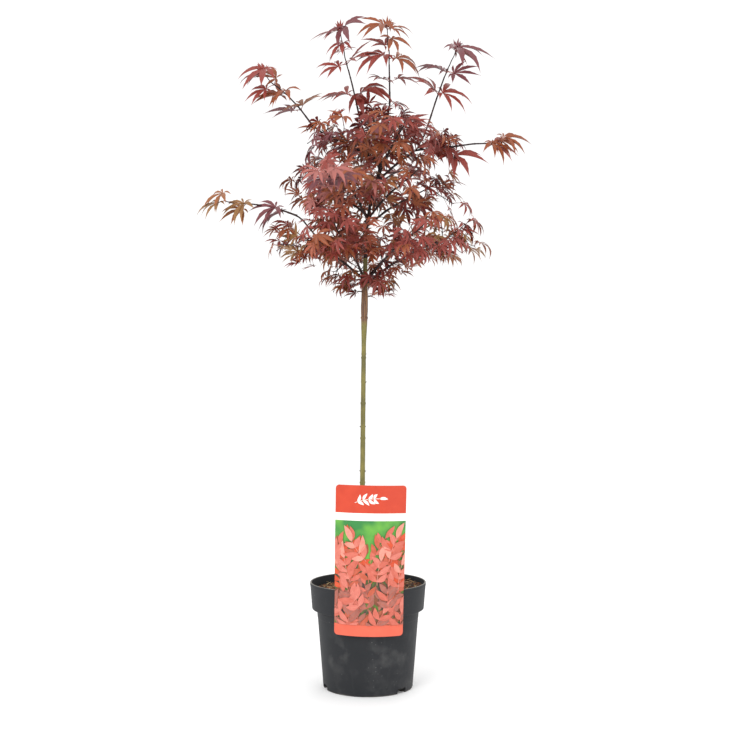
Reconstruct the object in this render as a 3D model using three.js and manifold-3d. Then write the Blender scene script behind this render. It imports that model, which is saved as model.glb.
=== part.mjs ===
// A Japanese maple grown as a standard: a clear green stem with a rounded, red-leaved crown on top, long
// young shoots standing out of the crown, and a nursery pot with a picture card hooked over its rim.
// Millimetres, +Z up, +X right, +Y to the back. The origin is the centre of the pot's underside.
import * as THREE from "three";
import { mergeVertices } from "three/addons/utils/BufferGeometryUtils.js";
import Module from "manifold-3d";

const wasm = await Module();
wasm.setup();

// ---------------------------------------------------------------- driving dimensions

const GAP = 0.35; // clear space between solids that meet

const POT = {
  height: 172,
  rimRadius: 95,
  collarDepth: 44, // the thicker band at the top, for lifting
  collarFootRadius: 91.6,
  shoulderRadius: 83.7, // the wall just under the collar
  footRadius: 73.2,
  wall: 1.6,
  lip: 2.4, // wall thickness at the rim
  floorTop: 5.4,
  channel: { inner: 31, outer: 53, height: 3 }, // ring-shaped drain under the floor
  sides: 26,
};
const NOTCH = { count: 3, width: 20, height: 8.5, inner: 50, turn: 78 }; // drain slots, turned in degrees

const SOIL = { level: 160, heave: 2.4, rings: 3, padRadius: 30 };

const CARD = {
  width: 115,
  height: 237,
  bottom: 101,
  thickness: 0.6,
  clearance: 0.8, // between the card and the rim's outer edge
  turn: 1.6, // degrees round the pot, to the right
  lean: 1.2, // degrees, tipped to the right where it hangs on the rim
  cornerRadius: 6,
  topBow: 1 / 140, // curvature at the top edge, where the card is flatter than the rim
  columns: 6,
  rows: 3,
};
const HOOK = { width: 26, legBottom: 150, legLean: 2.2, rimClearance: 2.4, thickness: 0.9 };

const TRUNK = {
  footX: -11,
  drift: [0, 2, 3.6, 6.5], // how far the stem has moved to the right at equal steps up to the fork
  forkHeight: 700,
  footRadius: 8.5,
  stemRadius: 4.3,
  topRadius: 3.5,
  flareHeight: 14, // how fast the root flare dies away
  graftHeight: 621, // the middle of the thicker stretch where the head was grafted on
  graftReach: 34,
  graftSwelling: 2.1,
  sides: 8,
  steps: 20,
};
const LEADER = { tipHeight: 936, tipX: 28, sway: 6, radius: 2.8, tipRadius: 1.6, sides: 6, steps: 5 };

// A bough climbs by its slope for each millimetre that its mass stands away from the pot's axis, and arches
// above that line by a share of the same distance.
const BOUGH = { radius: 2.2, tipRadius: 1.4, sides: 5, steps: 3, slope: 0.62, arch: 0.15, lowestStart: 660 };
const SHOOT = { radius: 1.7, tipRadius: 1.1, sides: 5, steps: 4 };

const LUMPS = 0.08; // how uneven a mass is, as a share of its size
const DROOP = 0.22; // how far a mass's edge hangs below its middle, as a share of its height

// The crown's rings of foliage, from the bottom up. Size is radial, tangential and vertical. Each mass of a
// ring of several hangs on a bough of its own.
const TIERS = [
  { name: "skirt", height: 666, centreX: -8, reach: 27, masses: 2, turn: 0, size: [36, 50, 34] },
  { name: "lower", height: 736, centreX: 15, reach: 116, masses: 6, turn: 0, size: [66, 62, 44] },
  { name: "middle", height: 826, centreX: 13, reach: 94, masses: 5, turn: 20, size: [60, 62, 46] },
  { name: "upper", height: 896, centreX: 24, reach: 84, masses: 4, turn: 20, size: [58, 58, 34] },
  { name: "top", height: 932, centreX: 30, reach: 0, masses: 1, turn: 0, size: [58, 52, 34] },
];

// Young shoots that stand clear of the crown. Each springs from a root inside a mass and ends in a mass of
// its own, after running through a lower whorl of leaves, its collar, at a share of the way.
const REACHES = [
  {
    name: "top_left",
    from: "top",
    root: [-12, 6, 925],
    at: [-42, 10, 1048],
    size: [45, 40, 40],
    detail: 2,
    sag: 4,
    collar: { share: 0.34, size: [44, 36, 15] },
  },
  {
    name: "top_centre",
    from: "top",
    root: [36, -4, 940],
    at: [34, -10, 1050],
    size: [47, 40, 36],
    detail: 2,
    sag: 2,
    collar: { share: 0.4, size: [36, 32, 13] },
  },
  {
    name: "top_right",
    from: "upper_right",
    root: [94, 20, 905],
    at: [136, 24, 1028],
    size: [56, 44, 27],
    detail: 2,
    sag: 5,
    collar: { share: 0.62, size: [48, 42, 14] },
  },
  {
    name: "high_left",
    from: "upper_left",
    root: [-82, -28, 900],
    at: [-150, -34, 978],
    size: [42, 38, 27],
    sag: 12,
    collar: { share: 0.5, size: [54, 36, 15] },
  },
  {
    name: "far_left",
    from: "lower_left",
    root: [-100, -20, 758],
    at: [-224, -46, 785],
    size: [41, 34, 27],
    sag: 23,
    collar: { share: 0.5, size: [27, 32, 26] },
  },
  {
    name: "far_right",
    from: "upper_right",
    root: [120, 14, 882],
    at: [228, 2, 890],
    size: [30, 32, 21],
    sag: 12,
    collar: { share: 0.4, size: [31, 34, 32] },
  },
  {
    name: "front_left",
    from: "middle_front_left",
    root: [-44, -90, 808],
    at: [-60, -190, 808],
    size: [42, 40, 26],
    sag: 12,
  },
  {
    name: "back_right",
    from: "middle_back",
    root: [20, 100, 836],
    at: [64, 190, 878],
    size: [44, 42, 28],
    sag: 12,
  },
];

// Leaf and bark colours, with the pot's and the card's.
const COLOURS = {
  bark: 0x7d7636,
  youngBark: 0x4b2b2c,
  leaf: 0x8c4038,
  leafTip: 0x9a5a4c,
  pot: 0x3f4145,
  soil: 0x6b4a30,
  card: 0xe4502f,
};

// ---------------------------------------------------------------- solids and meshes

// A three.js geometry as a manifold-3d solid.
function solidOf(geometry) {
  const bare = geometry.clone();
  for (const name of Object.keys(bare.attributes)) {
    if (name !== "position") bare.deleteAttribute(name);
  }
  const merged = mergeVertices(bare, 1e-3);
  return new wasm.Manifold(
    new wasm.Mesh({
      numProp: 3,
      vertProperties: merged.attributes.position.array,
      triVerts: new Uint32Array(merged.index.array),
    }),
  );
}

// A manifold-3d solid as a three.js geometry.
function geometryOf(solid) {
  const mesh = solid.getMesh();
  return new THREE.BufferGeometry()
    .setAttribute("position", new THREE.BufferAttribute(new Float32Array(mesh.vertProperties), 3))
    .setIndex(new THREE.BufferAttribute(new Uint32Array(mesh.triVerts), 1));
}

// Every vertex of a geometry sent through a function of its place.
function reshape(geometry, place) {
  const position = geometry.attributes.position;
  const point = new THREE.Vector3();
  for (let i = 0; i < position.count; i += 1) {
    place(point.fromBufferAttribute(position, i), i);
    position.setXYZ(i, point.x, point.y, point.z);
  }
  return geometry;
}

const largestPiece = (solid) => solid.decompose().reduce((a, b) => (b.volume() > a.volume() ? b : a));

// A number from 0 to 1 that is always the same for the same seed.
function chance(seed) {
  const x = Math.sin(seed * 127.1 + 311.7) * 43758.5453;
  return x - Math.floor(x);
}

// ---------------------------------------------------------------- pot, soil and card

const collarFoot = POT.height - POT.collarDepth;

// Radius of the pot's inner wall at a height above the collar's ledge.
function collarBore(height) {
  const share = (height - collarFoot) / POT.collarDepth;
  return THREE.MathUtils.lerp(POT.collarFootRadius - POT.wall, POT.rimRadius - POT.lip, share);
}

// Turns a profile of [radius, height] pairs about the Z axis.
function turned(profile) {
  const points = profile.map(([radius, height]) => new THREE.Vector2(radius, height));
  return new THREE.LatheGeometry(points, POT.sides).rotateX(Math.PI / 2);
}

function potGeometry() {
  const { inner, outer, height } = POT.channel;
  const shell = turned([
    [0, 0],
    [inner, 0],
    [inner + height, height],
    [outer - height, height],
    [outer, 0],
    [POT.footRadius, 0],
    [POT.shoulderRadius, collarFoot],
    [POT.collarFootRadius, collarFoot],
    [POT.rimRadius, POT.height],
    [POT.rimRadius - POT.lip, POT.height],
    [POT.collarFootRadius - POT.wall, collarFoot + POT.wall],
    [POT.shoulderRadius - POT.wall, collarFoot + POT.wall],
    [POT.footRadius - POT.wall, POT.floorTop],
    [0, POT.floorTop],
  ]);
  let pot = solidOf(shell);
  const reach = POT.footRadius + 4 - NOTCH.inner;
  for (let i = 0; i < NOTCH.count; i += 1) {
    const slot = new THREE.BoxGeometry(reach, NOTCH.width, 2 * NOTCH.height);
    slot.translate(NOTCH.inner + reach / 2, 0, 0);
    slot.rotateZ(THREE.MathUtils.degToRad(NOTCH.turn + (i * 360) / NOTCH.count));
    pot = pot.subtract(solidOf(slot));
  }
  return geometryOf(pot);
}

// The root ball, filling the pot up to a rough surface that is level round the stem.
function soilGeometry(hook) {
  const rim = collarBore(SOIL.level - 3 * SOIL.heave) - GAP;
  const shares = Array.from({ length: SOIL.rings }, (_, i) => 1 - (i + 1) / SOIL.rings);
  const ball = turned([
    [0, POT.floorTop + GAP],
    [POT.footRadius - POT.wall - GAP, POT.floorTop + GAP],
    [POT.shoulderRadius - POT.wall - 2 * GAP, collarFoot + POT.wall + GAP],
    [POT.collarFootRadius - POT.wall - 2 * GAP, collarFoot + POT.wall + GAP],
    [rim, SOIL.level],
    ...shares.map((share) => [rim * share, SOIL.level]),
  ]);
  reshape(ball, (p) => {
    if (p.z < SOIL.level - 1e-3) return;
    const away = Math.hypot(p.x - TRUNK.footX, p.y) / SOIL.padRadius;
    const mounds = Math.sin(p.x * 0.11 + 1) * Math.cos(p.y * 0.13);
    const roughness = mounds + 0.6 * Math.sin(p.x * 0.31 - p.y * 0.23);
    const slope = Math.hypot(p.x, p.y) / rim;
    p.z += SOIL.heave * THREE.MathUtils.clamp(away - 1, 0, 1) * (roughness - slope);
  });
  return geometryOf(solidOf(ball).subtract(hook));
}

// Half the card's width at a height above its lower edge, drawn in at the rounded corners.
function cardHalfWidth(height) {
  const fromEnd = Math.min(height, CARD.height - height);
  const drop = Math.max(0, CARD.cornerRadius - fromEnd);
  const inset = CARD.cornerRadius - Math.sqrt(CARD.cornerRadius ** 2 - drop ** 2);
  return CARD.width / 2 - inset;
}

// The card lies round the collar and flattens out above the rim.
function cardPoint(across, height, depth) {
  const round = POT.rimRadius + CARD.clearance + depth;
  const freeHeight = CARD.height - (POT.height - CARD.bottom);
  const above = THREE.MathUtils.clamp((height + CARD.bottom - POT.height) / freeHeight, 0, 1);
  const bow = THREE.MathUtils.lerp(1 / round, CARD.topBow, Math.sqrt(above));
  const angle = across * bow;
  return new THREE.Vector3(Math.sin(angle) / bow, (1 - Math.cos(angle)) / bow - round, CARD.bottom + height);
}

// A point of the flat card moved to where it lies when the card leans over on the rim.
function askew(across, height) {
  const lean = THREE.MathUtils.degToRad(CARD.lean);
  const pivot = POT.height - CARD.bottom;
  const up = height - pivot;
  const [cos, sin] = [Math.cos(lean), Math.sin(lean)];
  return [across * cos + up * sin, pivot + up * cos - across * sin];
}

// Heights of the card's rows, close together at the rounded corners.
function cardRows() {
  const corner = [0, 0.3, 1].map((share) => share * CARD.cornerRadius);
  const body = Array.from({ length: CARD.rows - 1 }, (_, i) => ((i + 1) * CARD.height) / CARD.rows);
  return [...corner, ...body, ...corner.map((h) => CARD.height - h).reverse()];
}

// A closed sheet: a PlaneGeometry for each face and a strip round the edge.
function cardGeometry() {
  const heights = cardRows();
  const columns = CARD.columns;
  const faces = [0, CARD.thickness].map((depth) =>
    reshape(new THREE.PlaneGeometry(2, 1, columns, heights.length - 1), (p, i) => {
      const height = heights[heights.length - 1 - Math.floor(i / (columns + 1))];
      p.copy(cardPoint(...askew(p.x * cardHalfWidth(height), height), depth));
    }),
  );
  const count = faces[0].attributes.position.count;
  const positions = faces.flatMap((face) => Array.from(face.attributes.position.array));
  const [back, front] = faces.map((face) => Array.from(face.index.array));
  const index = [];
  for (let i = 0; i < back.length; i += 3) index.push(back[i], back[i + 2], back[i + 1]);
  front.forEach((v) => index.push(v + count));
  const rows = heights.length;
  const corner = (row, column) => row * (columns + 1) + column;
  const edge = [];
  for (let c = 0; c < columns; c += 1) edge.push(corner(0, c));
  for (let r = 0; r < rows - 1; r += 1) edge.push(corner(r, columns));
  for (let c = columns; c > 0; c -= 1) edge.push(corner(rows - 1, c));
  for (let r = rows - 1; r > 0; r -= 1) edge.push(corner(r, 0));
  edge.forEach((a, i) => {
    const b = edge[(i + 1) % edge.length];
    index.push(b, a, a + count, b, a + count, b + count);
  });
  return new THREE.BufferGeometry()
    .setAttribute("position", new THREE.Float32BufferAttribute(positions, 3))
    .setIndex(index)
    .rotateZ(THREE.MathUtils.degToRad(CARD.turn));
}

// The hook on the card's back: over the rim and down between the wall and the soil. Spare room is added
// all round it when it is cut out of the soil.
function hookSolid(spare) {
  const outside = -(POT.rimRadius + CARD.clearance + CARD.thickness / 2);
  const inside = -(POT.rimRadius - POT.lip - HOOK.rimClearance);
  const top = POT.height + GAP + HOOK.thickness;
  const outline = new THREE.Shape();
  outline.moveTo(outside - spare, POT.height + GAP - spare);
  outline.lineTo(inside - spare, POT.height + GAP - spare);
  outline.lineTo(inside + HOOK.legLean - spare, HOOK.legBottom - spare);
  outline.lineTo(inside + HOOK.legLean + HOOK.thickness + spare, HOOK.legBottom - spare);
  outline.lineTo(inside + HOOK.thickness + spare, top + spare);
  outline.lineTo(outside - spare, top + spare);
  const depth = HOOK.width + 2 * spare;
  const strap = new THREE.ExtrudeGeometry(outline, { depth, bevelEnabled: false });
  strap.translate(0, 0, -depth / 2);
  // The outline's x runs to the back and its y up, so the extrusion runs to the right.
  strap.applyMatrix4(new THREE.Matrix4().set(0, 0, 1, 0, 1, 0, 0, 0, 0, 1, 0, 0, 0, 0, 0, 1));
  return solidOf(strap.rotateZ(THREE.MathUtils.degToRad(CARD.turn)));
}

// ---------------------------------------------------------------- limbs

// A closed cylinder carried along a curve, with its radius a function of the share of the way.
function limbGeometry(curve, radiusAt, sides, steps) {
  const frames = curve.computeFrenetFrames(steps, false);
  const rod = new THREE.CylinderGeometry(1, 1, 1, sides, steps);
  return reshape(rod, (p) => {
    const step = Math.round((p.y + 0.5) * steps);
    const share = step / steps;
    const radius = radiusAt(share);
    const centre = curve.getPointAt(share);
    centre.addScaledVector(frames.normals[step], p.z * radius);
    p.copy(centre.addScaledVector(frames.binormals[step], p.x * radius));
  });
}

const smooth = (...points) => new THREE.CatmullRomCurve3(points);

const trunkFoot = SOIL.level + GAP;
const trunkCurve = smooth(
  ...TRUNK.drift.map((drift, i) => {
    const height = THREE.MathUtils.lerp(trunkFoot, TRUNK.forkHeight, i / (TRUNK.drift.length - 1));
    return new THREE.Vector3(TRUNK.footX + drift, 0, height);
  }),
);

function trunkRadius(share) {
  const height = share * (TRUNK.forkHeight - trunkFoot);
  const taper = THREE.MathUtils.lerp(TRUNK.stemRadius, TRUNK.topRadius, share);
  const flare = (TRUNK.footRadius - TRUNK.stemRadius) * Math.exp(-height / TRUNK.flareHeight);
  const fromGraft = (height + trunkFoot - TRUNK.graftHeight) / TRUNK.graftReach;
  return taper + flare + TRUNK.graftSwelling * Math.exp(-(fromGraft ** 4));
}

// The leader goes on from the fork to the middle of the top mass.
const leaderFoot = trunkCurve.getPointAt(1).add(new THREE.Vector3(0, 0, GAP));
const leaderTip = new THREE.Vector3(LEADER.tipX, 0, LEADER.tipHeight);
const leaderCurve = smooth(
  leaderFoot,
  leaderFoot.clone().lerp(leaderTip, 0.35).add(new THREE.Vector3(-LEADER.sway, 0, 0)),
  leaderFoot.clone().lerp(leaderTip, 0.6).add(new THREE.Vector3(LEADER.sway / 2, LEADER.sway / 2, 0)),
  leaderTip,
);

// The point of the trunk or the leader at a height.
function spineAt(height) {
  const onLeader = height > TRUNK.forkHeight;
  const curve = onLeader ? leaderCurve : trunkCurve;
  const [low, high] = onLeader ? [TRUNK.forkHeight, LEADER.tipHeight] : [trunkFoot, TRUNK.forkHeight];
  return curve.getPointAt(THREE.MathUtils.clamp((height - low) / (high - low), 0, 1));
}

// ---------------------------------------------------------------- masses of foliage

const SIDES = ["right", "back_right", "back", "back_left", "left", "front_left", "front", "front_right"];
const sideOf = (azimuth) => SIDES[Math.round(azimuth / 45) % SIDES.length];

// An uneven, drooping blob about a centre. Size is radial, tangential and vertical.
function blob(mass) {
  const [radial, tangential, vertical] = mass.size;
  const phases = [1, 2, 3, 4, 5, 6].map((i) => 2 * Math.PI * chance(mass.seed * 7 + i));
  const ball = reshape(new THREE.IcosahedronGeometry(1, mass.detail), (p) => {
    const swell =
      Math.sin(4.2 * p.x + phases[0]) * Math.cos(3.7 * p.y + phases[1]) +
      Math.sin(3.4 * p.z + phases[2]) * Math.cos(4.8 * p.x + phases[3]) +
      Math.sin(6.1 * p.y + phases[4]) * Math.cos(5.3 * p.z + phases[5]);
    p.multiplyScalar(1 + LUMPS * swell);
    const droop = DROOP * (p.x * p.x + p.y * p.y - 1 / 3);
    p.set(p.x * radial, p.y * tangential, (p.z - droop) * vertical);
  });
  ball.rotateZ(mass.azimuth);
  return ball.translate(...mass.centre.toArray());
}

// How far a mass reaches along a direction, taken as an ellipsoid.
function reachAlong(mass, direction) {
  const d = direction.clone().applyAxisAngle(new THREE.Vector3(0, 0, 1), -mass.azimuth);
  const [radial, tangential, vertical] = mass.size;
  return 1 / Math.hypot(d.x / radial, d.y / tangential, d.z / vertical);
}

// Cuts two masses apart by a plane across the line between their centres.
function part(a, b) {
  const between = b.centre.clone().sub(a.centre);
  const distance = between.length();
  const along = between.normalize();
  const reachA = reachAlong(a, along);
  const reachB = reachAlong(b, along);
  if (1.3 * (reachA + reachB) < distance) return;
  const middle = along.dot(a.centre) + (distance * reachA) / (reachA + reachB);
  a.solid = a.solid.trimByPlane(along.clone().negate().toArray(), -(middle - GAP / 2));
  b.solid = b.solid.trimByPlane(along.toArray(), middle + GAP / 2);
}

// A mass's solid with every vertex pushed out from its centre, by enough to leave the gap all over.
function swollen(mass) {
  const grown = reshape(geometryOf(mass.solid), (p) => {
    const out = p.clone().sub(mass.centre);
    p.add(out.setLength(1.3 * GAP));
  });
  return solidOf(grown);
}

function tierMasses() {
  return TIERS.flatMap((tier, level) =>
    Array.from({ length: tier.masses }, (_, i) => {
      const bough = tier.masses > 2;
      const azimuth = tier.turn + (i * 360) / tier.masses;
      const angle = THREE.MathUtils.degToRad(azimuth);
      const seed = level * 11 + i;
      const reach = tier.reach * (0.95 + 0.1 * chance(seed + 0.5));
      const height = tier.height + tier.size[2] * 0.25 * (chance(seed + 0.7) - 0.5);
      return {
        name: tier.masses > 1 ? `${tier.name}_${sideOf(azimuth)}` : tier.name,
        centre: new THREE.Vector3(tier.centreX + reach * Math.cos(angle), reach * Math.sin(angle), height),
        azimuth: angle,
        size: tier.size,
        detail: bough ? 2 : 1,
        bough,
        seed,
      };
    }),
  );
}

// The route of a young shoot from its root to its own mass, bowed up and back by its sag.
function shootCurve(shoot) {
  const start = new THREE.Vector3(...shoot.root);
  const end = new THREE.Vector3(...shoot.at);
  const out = new THREE.Vector3(end.x - start.x, end.y - start.y, 0).normalize();
  const bow = out.multiplyScalar(-0.6 * shoot.sag).add(new THREE.Vector3(0, 0, shoot.sag));
  return new THREE.QuadraticBezierCurve3(start, start.clone().lerp(end, 0.5).add(bow), end);
}

function shootMasses(shoot, seed, curve) {
  const [start, end] = [curve.getPointAt(0), curve.getPointAt(1)];
  const azimuth = Math.atan2(end.y - start.y, end.x - start.x);
  const tip = { name: shoot.name, centre: end, azimuth, size: shoot.size, detail: shoot.detail ?? 1, seed };
  if (!shoot.collar) return [tip];
  const centre = curve.getPointAt(shoot.collar.share);
  const size = shoot.collar.size;
  return [tip, { name: `${shoot.name}_collar`, centre, azimuth, size, detail: 1, seed: seed + 50 }];
}

// ---------------------------------------------------------------- the tree

const masses = tierMasses();
const massNamed = (name) => masses.find((mass) => mass.name === name);

const shoots = REACHES.map((shoot, i) => {
  const parent = massNamed(shoot.from);
  const curve = shootCurve(shoot);
  const own = shootMasses(shoot, 70 + i, curve);
  return { name: `shoot_${shoot.name}`, curve, ends: [parent, own[0]], own, ...SHOOT };
});
shoots.forEach((shoot) => masses.push(...shoot.own));

// One bough from the trunk or leader to each mass that a tier gives one.
const boughs = masses
  .filter((mass) => mass.bough)
  .map((mass) => {
    const reach = Math.hypot(mass.centre.x, mass.centre.y);
    const start = spineAt(Math.max(BOUGH.lowestStart, mass.centre.z - BOUGH.slope * reach));
    const knee = start.clone().lerp(mass.centre, 0.5).add(new THREE.Vector3(0, 0, BOUGH.arch * reach));
    const curve = new THREE.QuadraticBezierCurve3(start, knee, mass.centre.clone());
    return { name: `bough_${mass.name}`, curve, ends: [mass], ...BOUGH };
  });
const leader = { name: "leader", curve: leaderCurve, ends: [massNamed("top")], ...LEADER };

// A limb's full solid, from axis to axis, with extra radius when something is to be kept clear of it.
function limbSolid(limb, extra = 0) {
  const radiusAt = (share) => THREE.MathUtils.lerp(limb.radius, limb.tipRadius, share) + extra;
  return solidOf(limbGeometry(limb.curve, radiusAt, limb.sides, limb.steps));
}

const trunkSolid = (extra = 0) =>
  solidOf(limbGeometry(trunkCurve, (share) => trunkRadius(share) + extra, TRUNK.sides, TRUNK.steps));

masses.forEach((mass) => {
  mass.solid = solidOf(blob(mass));
});
masses.forEach((a, i) => masses.slice(i + 1).forEach((b) => part(a, b)));

// The masses are cut round the trunk, the leader and every limb that isn't their own.
const limbs = [leader, ...boughs, ...shoots];
const spineRoom = trunkSolid(GAP).add(limbSolid(leader, GAP));
masses.forEach((mass) => {
  if (mass.name !== "top") mass.solid = mass.solid.subtract(spineRoom);
  [...boughs, ...shoots]
    .filter((limb) => !limb.ends.includes(mass))
    .forEach((limb) => {
      mass.solid = mass.solid.subtract(limbSolid(limb, GAP));
    });
  mass.solid = largestPiece(mass.solid);
});

// The limbs end at the skin of the masses that they enter, and boughs start at the bark of the spine.
limbs.forEach((limb) => {
  limb.solid = limbSolid(limb);
  limb.ends.forEach((mass) => {
    limb.solid = limb.solid.subtract(swollen(mass));
  });
  if (boughs.includes(limb)) limb.solid = limb.solid.subtract(spineRoom);
  limb.solid = largestPiece(limb.solid);
});
// Boughs that leave the spine close together are cut apart, the later one giving way.
boughs.forEach((limb, i) => {
  boughs.slice(0, i).forEach((other) => {
    limb.solid = limb.solid.subtract(limbSolid(other, GAP));
  });
  limb.solid = largestPiece(limb.solid);
});

// ---------------------------------------------------------------- the scene

const plant = new THREE.Group();

function addMesh(name, geometry, color, roughness = 0.8) {
  const mesh = new THREE.Mesh(geometry, new THREE.MeshStandardMaterial({ color, roughness, metalness: 0 }));
  mesh.name = name;
  plant.add(mesh);
}

addMesh("pot", potGeometry(), COLOURS.pot, 0.55);
addMesh("soil", soilGeometry(hookSolid(GAP)), COLOURS.soil, 0.95);
addMesh("card", geometryOf(solidOf(cardGeometry()).add(hookSolid(0))), COLOURS.card, 0.35);
addMesh("trunk", geometryOf(trunkSolid()), COLOURS.bark, 0.6);
limbs.forEach((limb) => addMesh(limb.name, geometryOf(limb.solid), COLOURS.youngBark, 0.6));
masses.forEach((mass) => {
  const young = shoots.some((shoot) => shoot.own.includes(mass));
  addMesh(`leaves_${mass.name}`, geometryOf(mass.solid), young ? COLOURS.leafTip : COLOURS.leaf);
});

export default plant;
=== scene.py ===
"""A young Japanese maple grown as a standard, in a plastic nursery pot with a picture card on its rim.

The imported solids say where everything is. Bark, soil, pot and card take the places of their solids, and
twigs and leaves grow from the limbs into each mass of foliage by a seeded branching rule. Lengths are in
metres unless a comment says otherwise."""

import math

import bmesh
import bpy
import numpy as np
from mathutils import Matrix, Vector, noise
from mathutils.bvhtree import BVHTree


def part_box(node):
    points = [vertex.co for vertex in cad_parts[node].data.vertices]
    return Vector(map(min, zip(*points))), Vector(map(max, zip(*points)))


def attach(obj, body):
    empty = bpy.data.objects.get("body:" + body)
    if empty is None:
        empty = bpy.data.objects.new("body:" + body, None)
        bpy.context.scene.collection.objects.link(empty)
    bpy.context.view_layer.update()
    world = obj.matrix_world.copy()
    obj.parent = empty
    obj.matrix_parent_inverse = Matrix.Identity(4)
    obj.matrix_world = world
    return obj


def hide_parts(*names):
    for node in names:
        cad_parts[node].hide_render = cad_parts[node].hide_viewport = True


MM = 0.001
UP = np.array([0.0, 0.0, 1.0])
FRONT = np.array([0.0, -1.0, 0.0])

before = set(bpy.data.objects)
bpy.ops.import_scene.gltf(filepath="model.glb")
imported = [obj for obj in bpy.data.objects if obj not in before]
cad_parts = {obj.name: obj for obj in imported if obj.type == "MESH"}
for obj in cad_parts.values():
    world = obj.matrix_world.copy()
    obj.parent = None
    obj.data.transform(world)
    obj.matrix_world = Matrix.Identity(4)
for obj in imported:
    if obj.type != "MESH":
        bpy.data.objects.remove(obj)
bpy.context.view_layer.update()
FIRST_DRAW = 20
dice = np.random.default_rng(FIRST_DRAW)
# Other draws for the twigs whose first ones came out badly.
DRAWS = {
    "top_left_collar_0": 3,
    "top_right_0": 1,
    "top_right_collar_0": 8,
    "high_left_0": 21,
    "far_left_0": 6,
    "far_left_collar_0": 9,
    "far_right_0": 6,
    "far_right_collar_0": 12,
}


def start_dice(name):
    """Random draws of a name's own, so that a change to one part leaves the other parts alone."""
    global dice
    dice = np.random.default_rng([DRAWS.get(name, FIRST_DRAW), *name.encode()])


def by_start(table, name, default=None):
    """The first entry of a table whose key is the start of a name."""
    return next((entry for start, entry in table.items() if name.startswith(start)), default)


# ---------------------------------------------------------------- vectors

NO_LENGTH = 1e-12  # keeps a vector of no length from being divided by nothing


def unit(v):
    """A vector, or each row of an array of them, at length 1."""
    return v / np.maximum(np.linalg.norm(v, axis=-1, keepdims=True), NO_LENGTH)


def square_to(v, axis):
    """The part of v that is square to a unit axis, at length 1."""
    return unit(v - np.dot(v, axis) * axis)


def turned(v, axis, angle):
    """v turned about a unit axis by an angle in radians."""
    part = axis * np.dot(axis, v)
    return part + (v - part) * math.cos(angle) + np.cross(axis, v) * math.sin(angle)


def any_way():
    """A random direction."""
    return unit(dice.normal(size=3))


def ruffle(points, scale, seed=0.0):
    """Smooth noise between about -1 and 1 at each point, for lumps of about that scale in metres."""
    return np.array([noise.noise(Vector(p) / scale + Vector((seed, 0, 0))) for p in points])


# ---------------------------------------------------------------- meshes


SLIVER = 1e-7  # edges shorter than this are dissolved, in metres


class Batch:
    """Points and faces gathered from many small shapes, to be joined into one piece."""

    def __init__(self):
        self.points, self.faces, self.count = [], [], 0

    def add(self, points, *face_arrays, material=0):
        """Each array of faces holds faces that have the same number of corners. The material is one for all
        of them, or an array with one for each face."""
        for faces in face_arrays:
            self.faces.append((np.asarray(faces, np.int64) + self.count, material))
        self.points.append(np.asarray(points, float))
        self.count += len(points)

    def piece(self, name, slot, materials, nodes=(), smooth=True):
        """Joins what was gathered into a mesh that rides on the plant and stands for those nodes."""
        points = np.concatenate(self.points)
        sizes = np.concatenate([np.full(len(f), f.shape[1]) for f, _ in self.faces])
        corners = np.concatenate([f.ravel() for f, _ in self.faces])
        picks = np.concatenate([np.full(len(f), m) for f, m in self.faces])
        mesh = bpy.data.meshes.new(name)
        mesh.vertices.add(len(points))
        mesh.vertices.foreach_set("co", points.ravel())
        mesh.loops.add(len(corners))
        mesh.loops.foreach_set("vertex_index", corners)
        mesh.polygons.add(len(sizes))
        mesh.polygons.foreach_set("loop_start", np.cumsum(sizes) - sizes)
        for material in materials:
            mesh.materials.append(material)
        mesh.polygons.foreach_set("material_index", picks)
        mesh.polygons.foreach_set("use_smooth", np.full(len(sizes), smooth))
        mesh.update(calc_edges=True)
        mesh.validate()
        clean = bmesh.new()
        clean.from_mesh(mesh)
        bmesh.ops.dissolve_degenerate(clean, dist=SLIVER, edges=clean.edges)
        clean.to_mesh(mesh)
        clean.free()
        piece = bpy.data.objects.new(name, mesh)
        bpy.context.scene.collection.objects.link(piece)
        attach(piece, "root")
        if nodes:
            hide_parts(*nodes)
        return piece


def grid_faces(rows, columns, wrap=False):
    """The four-cornered faces of a grid of points stored row by row, closed round its columns or not."""
    r, c = np.meshgrid(np.arange(rows - 1), np.arange(columns if wrap else columns - 1), indexing="ij")
    low, column = r.ravel() * columns, c.ravel()
    after = (column + 1) % columns
    high = low + columns
    return np.stack([low + column, low + after, high + after, high + column], 1)


def tube(path, radii, sides):
    """A rod along a path: its points, its sides and its two ends. Radii are one for each point of the path,
    or a grid with one for each side too."""
    radii = np.asarray(radii, float)
    radii = radii[:, None] if radii.ndim == 1 else radii
    tangents = unit(np.gradient(path, axis=0))
    start = FRONT if abs(tangents[0][1]) < 0.8 else UP
    across = [square_to(start, tangents[0])]
    for tangent in tangents[1:]:
        across.append(square_to(across[-1], tangent))
    across = np.array(across)
    over = np.cross(tangents, across)
    angle = (np.arange(sides) * 2 * math.pi / sides)[None, :, None]
    ring = np.cos(angle) * across[:, None] + np.sin(angle) * over[:, None]
    points = (path[:, None] + ring * radii[..., None]).reshape(-1, 3)
    last = (len(path) - 1) * sides
    ends = np.array([np.arange(sides)[::-1], last + np.arange(sides)])
    return points, grid_faces(len(path), sides, wrap=True), ends


def along(path):
    """The distance of each point of a path from its start."""
    return np.concatenate([[0], np.cumsum(np.linalg.norm(np.diff(path, axis=0), axis=1))])


def resampled(path, count):
    """Points evenly spaced along a path, with the distance of each from its start."""
    at = along(path)
    even = np.linspace(0, at[-1], count)
    return np.stack([np.interp(even, at, path[:, k]) for k in range(3)], 1), even


def smoothed(path, rounds):
    """A path with its kinks eased out and its ends kept."""
    path = path.copy()
    for _ in range(rounds):
        path[1:-1] = 0.25 * path[:-2] + 0.5 * path[1:-1] + 0.25 * path[2:]
    return path


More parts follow.
